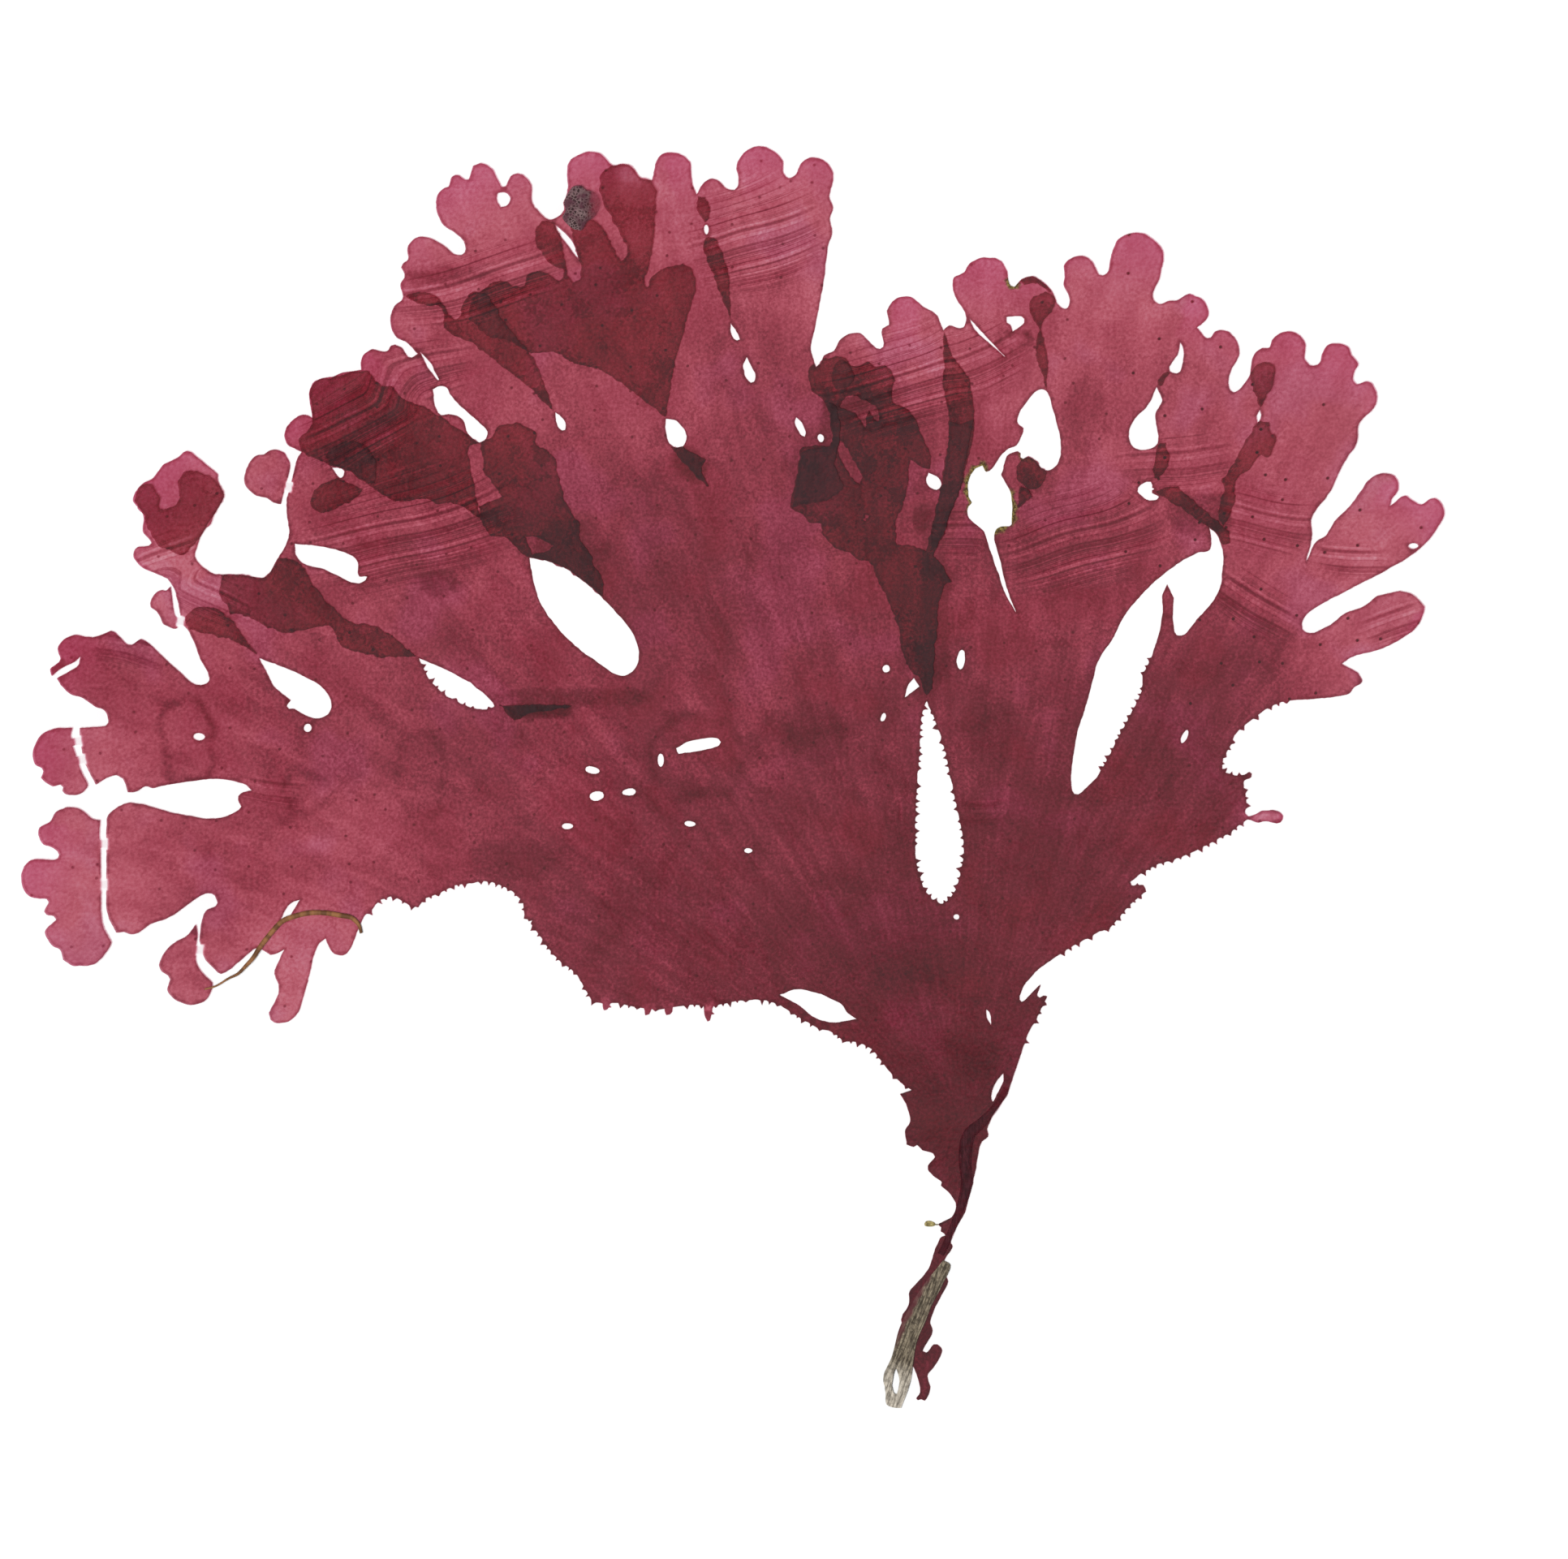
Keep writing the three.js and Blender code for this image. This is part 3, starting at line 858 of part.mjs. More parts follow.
function makeFrond() {
  let area = cutter(MARGIN);
  for (const tip of BROKEN_TIPS.concat(LEAFLETS)) {
    area = area.add(cutter(tip));
  }
  for (const bridge of BRIDGES) {
    area = area.add(prism(band(toPoints(bridge), BRIDGE_WIDTH), -4, 12));
  }
  for (const hole of HOLES) {
    area = area.subtract(cutter(hole));
  }
  for (const pin of PIN_HOLES) {
    area = area.subtract(prism(ellipse(...pin), -4, 12));
  }
  let frond = sheet(0, BLADE).intersect(area);
  for (const spec of FLAPS) {
    frond = frond.add(flap(spec).intersect(area));
  }
  const ribPoints = toPoints(RIB).map((p) => new THREE.Vector3(p.x, p.y, liftAt(p.x, p.y) + RIB_CENTRE_Z));
  const rib = rod(ribPoints, RIB_HALF_WIDTH, RIB_HALF_HEIGHT);
  return frond.add(rib.intersect(sheet(0, 4)).intersect(area));
}

function makeCrust() {
  const base = REST_RISE + BLADE + MESH_GAP;
  const forked = prism(outline(CRUST, MARGIN_TOLERANCE), base, base + CRUST_THICKNESS);
  let crust = forked.subtract(cutter(CRUST_FORK));
  for (const fibre of CRUST_FIBRES) {
    const line = toPoints(fibre).map((p) => new THREE.Vector3(p.x, p.y, base + CRUST_THICKNESS));
    crust = crust.add(rod(line, FIBRE_RADIUS, FIBRE_RADIUS));
  }
  return crust;
}

function makeStrand() {
  const line = smoothRun(STRAND);
  const above = BLADE + MESH_GAP;
  return sheet(above, above + BLADE).intersect(prism(band(line, STRAND_WIDTH), -4, 12));
}

function makePatch() {
  const above = LAYER_STEP + BLADE + MESH_GAP;
  return sheet(above, above + BLADE).intersect(cutter(PATCH));
}

function makeBud() {
  return sheet(0, BLADE).intersect(cutter(BUD));
}

function makeMesh(name, solid, color, roughness) {
  const material = new THREE.MeshStandardMaterial({ color, roughness, metalness: 0 });
  const mesh = new THREE.Mesh(toGeometry(solid), material);
  mesh.name = name;
  return mesh;
}

const group = new THREE.Group();
group.name = 'cryptopleura_ruprechtiana';
group.add(makeMesh('frond', makeFrond(), FROND_COLOR, 0.6));
group.add(makeMesh('stipe_crust', makeCrust(), CRUST_COLOR, 0.9));
group.add(makeMesh('strand', makeStrand(), STRAND_COLOR, 0.8));
group.add(makeMesh('crust_patch', makePatch(), PATCH_COLOR, 0.9));
group.add(makeMesh('bud', makeBud(), BUD_COLOR, 0.8));

export default group;
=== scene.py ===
"""Looks of a pressed, dried frond of a thin red seaweed, lying on a plain pale floor.

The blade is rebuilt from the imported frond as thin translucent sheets: the blade itself and the lobes
and folds that lie over it, so places with more layers are darker because more light is taken away.
"""

import logging
import math
import random
from collections import defaultdict
from dataclasses import dataclass, field
from enum import Enum
from functools import partial
from typing import Callable

import bpy
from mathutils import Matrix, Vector, noise
from mathutils.geometry import delaunay_2d_cdt


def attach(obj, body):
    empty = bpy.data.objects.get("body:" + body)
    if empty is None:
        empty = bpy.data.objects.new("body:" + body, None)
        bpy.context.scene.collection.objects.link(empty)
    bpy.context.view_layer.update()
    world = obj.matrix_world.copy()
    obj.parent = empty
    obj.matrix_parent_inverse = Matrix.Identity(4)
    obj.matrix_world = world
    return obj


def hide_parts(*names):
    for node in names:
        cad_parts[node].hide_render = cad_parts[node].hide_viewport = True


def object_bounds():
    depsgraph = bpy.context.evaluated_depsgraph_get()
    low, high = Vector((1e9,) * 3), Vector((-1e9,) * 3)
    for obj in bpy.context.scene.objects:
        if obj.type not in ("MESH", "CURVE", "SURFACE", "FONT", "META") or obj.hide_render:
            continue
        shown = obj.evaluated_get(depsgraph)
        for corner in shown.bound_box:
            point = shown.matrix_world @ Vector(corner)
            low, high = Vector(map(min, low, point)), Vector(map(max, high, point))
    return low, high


LOG = logging.getLogger("frond")
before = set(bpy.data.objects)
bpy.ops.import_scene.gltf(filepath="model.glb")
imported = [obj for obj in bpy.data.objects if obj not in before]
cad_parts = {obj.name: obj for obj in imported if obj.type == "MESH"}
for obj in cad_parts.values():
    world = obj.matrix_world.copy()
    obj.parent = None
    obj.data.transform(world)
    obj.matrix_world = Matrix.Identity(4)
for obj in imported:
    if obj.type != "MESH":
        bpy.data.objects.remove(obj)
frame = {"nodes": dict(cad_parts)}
CAD_BOX = [[float(c) for c in corner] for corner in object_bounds()]

# Scale of the picture: 522 pixels are 50 mm, and the frond's box is centred here.
MM = 0.001
MM_PER_PIXEL = 50.0 / 522.0
PIXEL_CENTRE = (902.5, 958.0)
PHOTO_SIZE = (1932, 1921)

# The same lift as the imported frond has, in mm.
FLAT_CENTRE = (4.0, 12.0)
FLAT_HALF = (46.0, 38.0)
TIP_LIFT = 2.0
RUFFLE = 0.55
RUFFLE_COUNT = 11
STIPE_FLAT_Y = -50.0
STIPE_BLEND = 16.0
REST_CORNERS = (
    (-91.0 + 8 * 182.0 / 15, -24.0),
    (-91.0 + 11 * 182.0 / 15, 24.0),
    (-91.0 + 5 * 182.0 / 15, 36.0),
)
REST_RISE = 0.42
REST_REACH = 14.0
BLADE = 0.6
LAYER_STEP = 0.8

# The real blade's thickness and where a sheet lies within its layer, in mm.
FILM = 0.13
FILM_HEIGHT = 0.3

# Spacing of the points round the clear strips, in mm.
STRIP_GRID = 0.16

Point = tuple[float, float]
Socket = bpy.types.NodeSocket


def place(pixel: Point) -> Point:
    """Turns a picture position into the frame's millimetres."""
    return (
        (pixel[0] - PIXEL_CENTRE[0]) * MM_PER_PIXEL,
        (PIXEL_CENTRE[1] - pixel[1]) * MM_PER_PIXEL,
    )


def smoothstep(t: float) -> float:
    """Returns a soft step from 0 to 1 as t goes from 0 to 1."""
    u = min(1.0, max(0.0, t))
    return u * u * (3.0 - 2.0 * u)


def wander(x: float, y: float, scale: float, shift: float = 0.0) -> float:
    """Returns a smooth noise from -1 to 1 at a place, finer the larger its scale."""
    return noise.noise(Vector((x * scale, y * scale, shift)))


def linear(code: str) -> tuple[float, float, float, float]:
    """Turns an sRGB hex colour into the linear values that shaders use.

    Args:
        code: six hex digits.

    Returns:
        Linear red, green, blue and 1.
    """
    values = []
    for i in (0, 2, 4):
        c = int(code[i:i + 2], 16) / 255.0
        values.append(c / 12.92 if c <= 0.04045 else ((c + 0.055) / 1.055) ** 2.4)
    return (values[0], values[1], values[2], 1.0)


# Settings that several nodes share.
ADD, MULTIPLY, MULTIPLY_ADD, SUBTRACT = (
    {"operation": name} for name in ("ADD", "MULTIPLY", "MULTIPLY_ADD", "SUBTRACT"))
COLOURS = {"data_type": "RGBA"}
FLAT = {"noise_dimensions": "2D"}


class Shader:
    """A material's node tree, built node by node, with positions in millimetres to hand."""

    def __init__(self, name: str, *attributes: str) -> None:
        """Starts the tree and reads the point attributes that it needs."""
        self.material = bpy.data.materials.new(name)
        self.material.use_nodes = True
        self.tree = self.material.node_tree
        self.tree.nodes.clear()
        metres = self.add("TexCoord", out="Object")
        self.mm = self.add("VectorMath", {"operation": "SCALE"}, {0: metres, "Scale": 1.0 / MM})
        self.read = {attribute: self.add("Attribute", {"attribute_name": attribute}, out="Fac")
                     for attribute in attributes}

    def add(self, kind: str, settings: dict | None = None, inputs: dict | tuple = (),
            out: int | str = 0) -> Socket | None:
        """Adds one node with its settings and links.

        Args:
            kind: the node's type name without its ShaderNode prefix.
            settings: its properties by name.
            inputs: what goes in, by input name or number or in order: a socket to join, a value, a hex
                colour, or None to leave an input alone.
            out: name or number of the output to return.

        Returns:
            The output, or None from a node that has none.
        """
        node = self.tree.nodes.new("ShaderNode" + kind)
        for name, value in (settings or {}).items():
            setattr(node, name, value)
        for key, value in inputs.items() if isinstance(inputs, dict) else enumerate(inputs):
            if isinstance(value, Socket):
                self.tree.links.new(value, node.inputs[key])
            elif value is not None:
                node.inputs[key].default_value = linear(value) if isinstance(value, str) else value
        return node.outputs[out] if node.outputs else None

    def close(self, colour: Socket, height: Socket, bump: tuple[float, float],
              gloss: tuple[float, float], share: Socket | float | None = None,
              clear: str = "") -> bpy.types.Material:
        """Ends the tree with a bumpy face.

        Args:
            colour: socket of the face's colour.
            height: socket of its relief.
            bump: strength and height in mm of the relief.
            gloss: roughness and specular level.
            share: how much of the face shows over clear film, or None for all of it.
            clear: the film's hex colour.

        Returns:
            The material.
        """
        relief = self.add("Bump", inputs=(bump[0], bump[1] * MM, None, height))
        surface = self.add("BsdfPrincipled", inputs={
            "Base Color": colour, "Roughness": gloss[0], "Specular IOR Level": gloss[1], "Normal": relief})
        if share is not None:
            glass = self.add("BsdfTransparent", inputs=(clear,))
            surface = self.add("MixShader", inputs=(share, glass, surface))
        self.add("OutputMaterial", inputs=(surface,))
        return self.material


class Layer(Enum):
    """Layers of the frond, from the surface up."""

    BLADE = 0
    OVER = 1
    TOP = 2


@dataclass(frozen=True)
class FilmFinish:
    """Dried red algal blade: a tinted film that light crosses twice on its way back from the floor.

    The tints say what the film lets through once at a depth of 1. Depth is the blade's own thickness
    and pigment: about 1 in the outer lobes and 2 in the middle of the frond. It also holds painted
    shade and highlight: a darker band along the margins, and darker lines with lighter bands beside
    them along the wrinkles.
    """

    thin: str = "E09EAB"  # outer lobes: clear rose red
    dense: str = "D39CAA"  # thick middle of the blade: deep wine red, a little brown
    crimson: str = "DC9BAC"  # patches where the pigment kept its red
    magenta: str = "D99FB8"  # patches turned towards purple
    tip: str = "E299B3"  # growing tips, thinner and pinker
    body: str = "7A4C57"  # what the face itself scatters back
    under: str = "8F5B68"  # paler grain of the underside
    clear: str = "FDFAFB"  # what the underside lets through
    tan: str = "8B7A44"  # dried olive-tan rim of the torn edges
    char: str = "4A3E22"  # its darker spots
    scatter: float = 0.09
    under_scatter: float = 0.04
    roughness: float = 0.42
    speckle_mm: float = 0.38
    blotch_mm: float = 6.5
    stain_mm: float = 3.6
    hue_mm: float = 13.0
    specks_per_mm: float = 0.27
    least_depth: float = 0.35

    def material(self) -> bpy.types.Material:
        """Makes the blade's upper face, which holds all its tint.

        Returns:
            The material.
        """
        s = Shader("seaweed_film", "depth", "mottle", "edge", "crease", "crease_mask", "specks", "tip",
                   "tan", "clear_strip")
        flow = s.add("Attribute", {"attribute_name": "flow"}, out="Vector")
        speckle, cloud, spread, streak, hue, relief = (
            s.add("TexNoise", FLAT, (where, None, 1.0 / size, detail, rough))
            for where, size, detail, rough in (
                (s.mm, self.speckle_mm, 2.0, 0.7), (s.mm, self.blotch_mm, 3.0, 0.62),
                (s.mm, self.stain_mm, 3.0, 0.6), (flow, 1.0, 2.0, 0.6), (s.mm, self.hue_mm, 2.0, 0.6),
                (s.mm, 2.0 * self.speckle_mm, 1.0, 0.5)))
        fine = s.add("MapRange", inputs=(speckle, 0.3, 0.7, -0.16, 0.16))
        spread = s.add("Math", MULTIPLY_ADD, (fine, 0.4, spread))
        lines = s.add("TexNoise", {"noise_dimensions": "1D"}, (None, s.read["crease"], 1.15, 2.5, 0.6))
        away = s.add("Math", {"operation": "ABSOLUTE"}, (s.add("Math", SUBTRACT, (lines, 0.5)),))
        dots = s.add("TexVoronoi", {"voronoi_dimensions": "2D"},
                     {"Vector": s.mm, "Scale": self.specks_per_mm})
        some = s.add("SeparateColor", inputs=(dots.node.outputs["Color"],))
        blotch, stain, streak, dark, light, dot, some, edge = (
            s.add("MapRange", inputs=row) for row in (
                (cloud, 0.35, 0.65, -0.08, 0.08), (spread, 0.56, 0.62, 0.0, 0.09),
                (streak, 0.3, 0.7, -0.08, 0.08), (away, 0.0, 0.045, 0.72, 0.0),
                (lines, 0.56, 0.66, 0.0, -0.4), (dots, 0.034, 0.055, 2.4, 0.0), (some, 0.5, 0.52),
                (s.read["edge"], 0.4, 1.0, 0.0, 0.7)))
        change = s.add("Math", MULTIPLY_ADD, (stain, s.read["mottle"], 1.0))
        for pattern in (fine, blotch, streak):
            change = s.add("Math", ADD, (change, pattern))
        # The margin band is painted shade: the film is drawn darker along every margin.
        depth = s.add("Math", MULTIPLY_ADD, (s.read["depth"], change, edge))
        dot = s.add("Math", MULTIPLY, (dot, some))
        # Along the wrinkles, dark is painted shade in the creases and light is a painted highlight beside
        # them; dot adds the small specks.
        for mark, where in ((dark, "crease_mask"), (light, "crease_mask"), (dot, "specks")):
            depth = s.add("Math", MULTIPLY_ADD, (mark, s.read[where], depth))
        depth = s.add("Math", {"operation": "MAXIMUM"}, (depth, self.least_depth))
        solid = s.add("Math", SUBTRACT, (1.0, s.read["clear_strip"]))
        depth = s.add("Math", MULTIPLY, (depth, solid))
        tint = self.thin
        for value, colour, *span in (
                (depth, self.dense, 1.0, 1.9), (hue, self.crimson, 0.54, 0.66, 0.0, 0.45),
                (hue, self.magenta, 0.44, 0.34, 0.0, 0.35), (s.read["tip"], self.tip, 0.0, 1.0)):
            share = s.add("MapRange", inputs=(value, *span))
            tint = s.add("Mix", COLOURS, {0: share, 6: tint, 7: colour}, 2)
        split = s.add("SeparateColor", inputs=(tint,)).node.outputs
        clear = s.add("CombineColor", inputs=tuple(
            s.add("Math", {"operation": "POWER"}, (split[i], depth)) for i in range(3)))
        glass = s.add("BsdfTransparent", inputs=(clear,))
        relief = s.add("Bump", inputs={"Strength": 0.35, "Distance": 0.08 * MM, "Height": relief})
        face = s.add("BsdfPrincipled", inputs={"Base Color": self.body, "Roughness": self.roughness,
                                               "Specular IOR Level": 0.35, "Normal": relief})
        film = s.add("MixShader", inputs=(s.add("Math", MULTIPLY, (solid, self.scatter)), glass, face))
        spots = s.add("MapRange", inputs=(fine, -0.06, 0.06))
        dried = s.add("Mix", COLOURS, {0: spots, 6: self.tan, 7: self.char}, 2)
        rim = s.add("BsdfPrincipled", inputs={"Base Color": dried, "Roughness": 0.85,
                                              "Specular IOR Level": 0.04})
        torn = s.add("MapRange", inputs=(s.read["tan"], 0.1, 0.7, 0.0, 0.92))
        s.add("OutputMaterial", inputs=(s.add("MixShader", inputs=(torn, film, rim)),))
        return s.material

    def under_material(self) -> bpy.types.Material:
        """Makes the blade's underside and rims: clear, with the film's own faint scatter.

        Returns:
            The material.
        """
        s = Shader("seaweed_film_underside")
        grain = s.add("TexNoise", FLAT, (s.mm, None, 0.5 / self.speckle_mm, 1.0, 0.5))
        share = s.add("MapRange", inputs=(grain, 0.35, 0.65))
        colour = s.add("Mix", COLOURS, {0: share, 6: self.body, 7: self.under}, 2)
        return s.close(colour, grain, (0.3, 0.06), (self.roughness, 0.3), self.under_scatter, self.clear)


@dataclass(frozen=True)
class FibreFinish:
    """Old dry stipe: bleached, split fibres with grey grime between them."""

    light: str = "9A8D78"
    dark: str = "4C4338"
    bleached: str = "D6CDBE"
    grime: str = "40382F"
    skin: str = "5A2630"  # the red stipe's skin that still clings to its left side
    grain_mm: float = 0.64
    grime_mm: float = 0.42
    fuzz_mm: float = 0.2
    roughness: float = 0.85

    def material(self) -> bpy.types.Material:
        """Makes the split, bleached fibre.

        Returns:
            The material.
        """
        s = Shader("old_stipe_fibre", "grime", "skin")
        grain = s.add("Attribute", {"attribute_name": "grain"}, out="Vector")
        old = s.read["grime"]
        streak, soil, fuzz = (
            s.add("TexNoise", inputs=(where, None, 1.0 / size, detail, rough))
            for where, size, detail, rough in (
                (grain, self.grain_mm, 5.0, 0.6), (s.mm, self.grime_mm, 4.0, 0.65),
                (s.mm, self.fuzz_mm, 3.0, 0.5)))
        fibre, worn, pale, dirt, deep, red = (
            s.add("MapRange", inputs=row) for row in (
                (streak, 0.42, 0.58), (old, 0.8, 0.2, 0.0, 0.85), (streak, 0.4, 0.56, 0.35, 1.0),
                (soil, 0.45, 0.62), (old, 0.0, 1.0, 0.35, 0.8), (s.read["skin"], 0.0, 1.0, 0.0, 0.85)))
        pale = s.add("Math", MULTIPLY, (worn, pale))
        dirt = s.add("Math", MULTIPLY, (dirt, deep))
        colour = self.dark
        for share, layer in ((fibre, self.light), (pale, self.bleached), (dirt, self.grime),
                             (red, self.skin)):
            colour = s.add("Mix", COLOURS, {0: share, 6: colour, 7: layer}, 2)
        height = s.add("Math", MULTIPLY_ADD, (fuzz, 0.4, streak))
        return s.close(colour, height, (0.8, 0.12), (self.roughness, 0.2))


@dataclass(frozen=True)
class CrustFinish:
    """Thin dark growth of tiny cells, with small gaps between the cells."""

    light: str = "8C7273"
    dark: str = "352829"
    blush: str = "5E3A44"  # patches where the red blade stains it
    clear: str = "F7EFF1"  # the gaps
    cell_mm: float = 0.38
    blush_mm: float = 1.2
    gap_mm: float = 0.6
    roughness: float = 0.9

    def material(self) -> bpy.types.Material:
        """Makes the growth, thinner where its cover attribute is low.

        Returns:
            The material.
        """
        s = Shader("dark_crust", "cover")
        cells = s.add("TexVoronoi", {"feature": "DISTANCE_TO_EDGE"},
                      {"Vector": s.mm, "Scale": 1.0 / self.cell_mm})
        patches = s.add("TexNoise", inputs=(s.mm, None, 1.0 / self.blush_mm, 3.0))
        gaps = s.add("TexNoise", inputs=(s.mm, None, 1.0 / self.gap_mm, 4.0, 0.7))
        shade, red, share = (s.add("MapRange", inputs=row) for row in (
            (cells, 0.02, 0.2), (patches, 0.45, 0.62), (gaps, 0.36, 0.56, 0.5, 0.96)))
        colour = s.add("Mix", COLOURS, {0: shade, 6: self.light, 7: self.dark}, 2)
        colour = s.add("Mix", COLOURS, {0: red, 6: colour, 7: self.blush}, 2)
        share = s.add("Math", MULTIPLY, (share, s.read["cover"]))
        return s.close(colour, cells, (0.6, 0.1), (self.roughness, 0.06), share, self.clear)


@dataclass(frozen=True)
class FilamentFinish:
    """Brown jointed filament, darker at its joints."""

    light: str = "92633C"
    dark: str = "634024"
    joint_mm: float = 1.4
    fuzz_mm: float = 0.2
    roughness: float = 0.7

    def material(self) -> bpy.types.Material:
        """Makes the dry brown filament.

        Returns:
            The material.
        """
        s = Shader("brown_filament", "along")
        joints = s.add("TexNoise", {"noise_dimensions": "1D"},
                       (None, s.read["along"], 1.0 / self.joint_mm, 2.0))
        share = s.add("MapRange", inputs=(joints, 0.4, 0.6))
        colour = s.add("Mix", COLOURS, {0: share, 6: self.dark, 7: self.light}, 2)
        fuzz = s.add("TexNoise", inputs=(s.mm, None, 1.0 / self.fuzz_mm, 2.0))
        return s.close(colour, fuzz, (0.5, 0.05), (self.roughness, 0.3))


@dataclass(frozen=True)
class BudFinish:
    """Pale dried knob, olive in its folds."""

    light: str = "B3A46C"
    dark: str = "6A5D38"
    grain_mm: float = 0.3
    roughness: float = 0.75

    def material(self) -> bpy.types.Material:
        """Makes the pale knob.

        Returns:
            The material.
        """
        s = Shader("pale_bud")
        grain = s.add("TexNoise", inputs=(s.mm, None, 1.0 / self.grain_mm, 3.0, 0.6))
        share = s.add("MapRange", inputs=(grain, 0.35, 0.65))
        colour = s.add("Mix", COLOURS, {0: share, 6: self.dark, 7: self.light}, 2)
        return s.close(colour, grain, (0.6, 0.08), (self.roughness, 0.3))


@dataclass(frozen=True)
class RibFinish:
    """Dark, leathery midrib: half clear, faintly ridged along its length."""

    light: str = "5E2A34"
    dark: str = "35171C"
    clear: str = "F7ECEF"
    grain_mm: float = 0.5
    worn_mm: float = 0.6
    roughness: float = 0.6

    def material(self) -> bpy.types.Material:
        """Makes the midrib, thinner where its cover attribute is low.

        Returns:
            The material.
        """
        s = Shader("midrib", "cover")
        where = s.add("Attribute", {"attribute_name": "grain"}, out="Vector")
        grain = s.add("TexNoise", inputs=(where, None, 1.0 / self.grain_mm, 3.0, 0.6))
        worn = s.add("TexNoise", inputs=(s.mm, None, 1.0 / self.worn_mm, 3.0))
        shade, share = (s.add("MapRange", inputs=row) for row in (
            (grain, 0.35, 0.65), (worn, 0.35, 0.65, 0.12, 0.6)))
        colour = s.add("Mix", COLOURS, {0: shade, 6: self.dark, 7: self.light}, 2)
        share = s.add("Math", MULTIPLY, (share, s.read["cover"]))
        return s.close(colour, grain, (0.5, 0.08), (self.roughness, 0.08), share, self.clear)


@dataclass(frozen=True)
class CreaseZone:
    """A patch of fine pressed wrinkles, placed by the pixel of its middle.

    Attributes:
        middle: picture position of its middle.
        half: half length and half width in pixels.
        degrees: direction of the wrinkle lines, anticlockwise from +X.
        fan: how much the lines spread along their length, per mm.
        strength: how strong the lines are, from 0 to 1: the height of their ridges, and how dark their
            painted shade is.
    """

    middle: Point
    half: Point
    degrees: float
    fan: float
    strength: float

    def at(self, x: float, y: float) -> tuple[float, float]:
        """Finds the zone's wrinkles at a place.

        Args:
            x: position in mm.
            y: position in mm.

        Returns:
            The distance across the bent wrinkles in mm, and how strong they are.
        """
        mx, my = place(self.middle)
        turn = math.radians(self.degrees)
        along = (x - mx) * math.cos(turn) + (y - my) * math.sin(turn)
        across = -(x - mx) * math.sin(turn) + (y - my) * math.cos(turn)
        away = math.hypot(along / (self.half[0] * MM_PER_PIXEL), across / (self.half[1] * MM_PER_PIXEL))
        bent = (across - 0.006 * along * along) * (1.0 - along * self.fan)
        return bent, self.strength * smoothstep((1.0 - away) / 0.55)


@dataclass(frozen=True)
class Stain:
    """A dark ring or patch in the blade.

    Attributes:
        middle: picture position of its middle.
        radii: half length and half height in pixels.
        band: width of its rim in pixels, or 0 for a filled patch.
        strength: what it adds to the depth.
    """

    middle: Point
    radii: Point
    band: float
    strength: float

    def at(self, x: float, y: float) -> float:
        """Returns what the stain adds to the depth at a place in mm."""
        sx, sy = place(self.middle)
        rx, ry = (radius * MM_PER_PIXEL for radius in self.radii)
        away = math.hypot((x - sx) / rx, (y - sy) / ry) + 0.4 * wander(x, y, 0.3, 2.7)
        if not self.band:
            return self.strength * smoothstep((1.1 - away) / 0.3)
        gaps = smoothstep(0.75 + 1.3 * wander(x, y, 0.25, 1.0))
        off = abs(away - 1.0) * 0.5 * (rx + ry) / (self.band * MM_PER_PIXEL)
        return gaps * self.strength * smoothstep(1.0 - off)


CREASES = tuple(CreaseZone(*row) for row in (
    ((505, 650), (165, 95), 15, 0.012, 1.0), ((440, 520), (95, 72), 30, 0.0, 1.0),
    ((590, 350), (135, 56), 17, 0.01, 1.0), ((520, 455), (80, 50), 14, 0.0, 0.8),
    ((930, 290), (100, 92), 17, 0.012, 1.0), ((1110, 470), (125, 85), 18, 0.01, 1.0),
    ((1215, 440), (60, 60), 28, 0.0, 0.8), ((1330, 665), (130, 80), 17, 0.012, 1.0),
    ((1180, 655), (50, 45), 2, 0.0, 0.8), ((1450, 570), (95, 50), 4, 0.0, 0.7),
    ((1560, 640), (80, 55), -9, 0.0, 0.8), ((1545, 745), (75, 42), -32, 0.0, 1.0),
    ((1665, 690), (62, 26), -10, 0.0, 1.0), ((1715, 768), (50, 30), 18, 0.0, 0.9),
    ((205, 690), (60, 40), 20, 0.0, 0.8), ((255, 735), (70, 40), -28, 0.0, 0.7),
    ((160, 800), (60, 34), -12, 0.0, 0.7), ((330, 975), (60, 28), -8, 0.0, 0.6),
    ((1210, 1000), (45, 25), 4, 0.0, 0.5),
))

# How deep the blade's colour is at some picture positions, set by comparing renders with the picture.
DEPTHS = (
    ((90, 1100), 1.0), ((75, 930), 1.1), ((130, 820), 1.5), ((220, 610), 1.1),
    ((200, 700), 0.9), ((370, 1210), 0.9), ((290, 1070), 1.4), ((380, 900), 1.6),
    ((440, 690), 1.5), ((600, 1000), 1.7), ((590, 250), 1.0), ((730, 210), 1.0),
    ((950, 240), 1.0), ((700, 420), 1.35), ((900, 470), 1.5), ((830, 700), 1.9),
    ((800, 1120), 2.0), ((1060, 560), 1.7), ((1110, 400), 1.0), ((1220, 780), 1.8),
    ((1400, 340), 1.0), ((1390, 480), 1.3), ((1590, 460), 1.1), ((1700, 640), 1.0),
    ((1700, 770), 1.1), ((1560, 620), 1.25), ((1500, 850), 1.9), ((1420, 980), 2.2),
    ((1250, 1120), 2.2), ((1100, 1240), 2.4), ((1170, 1360), 2.8), ((1150, 1620), 2.8),
)

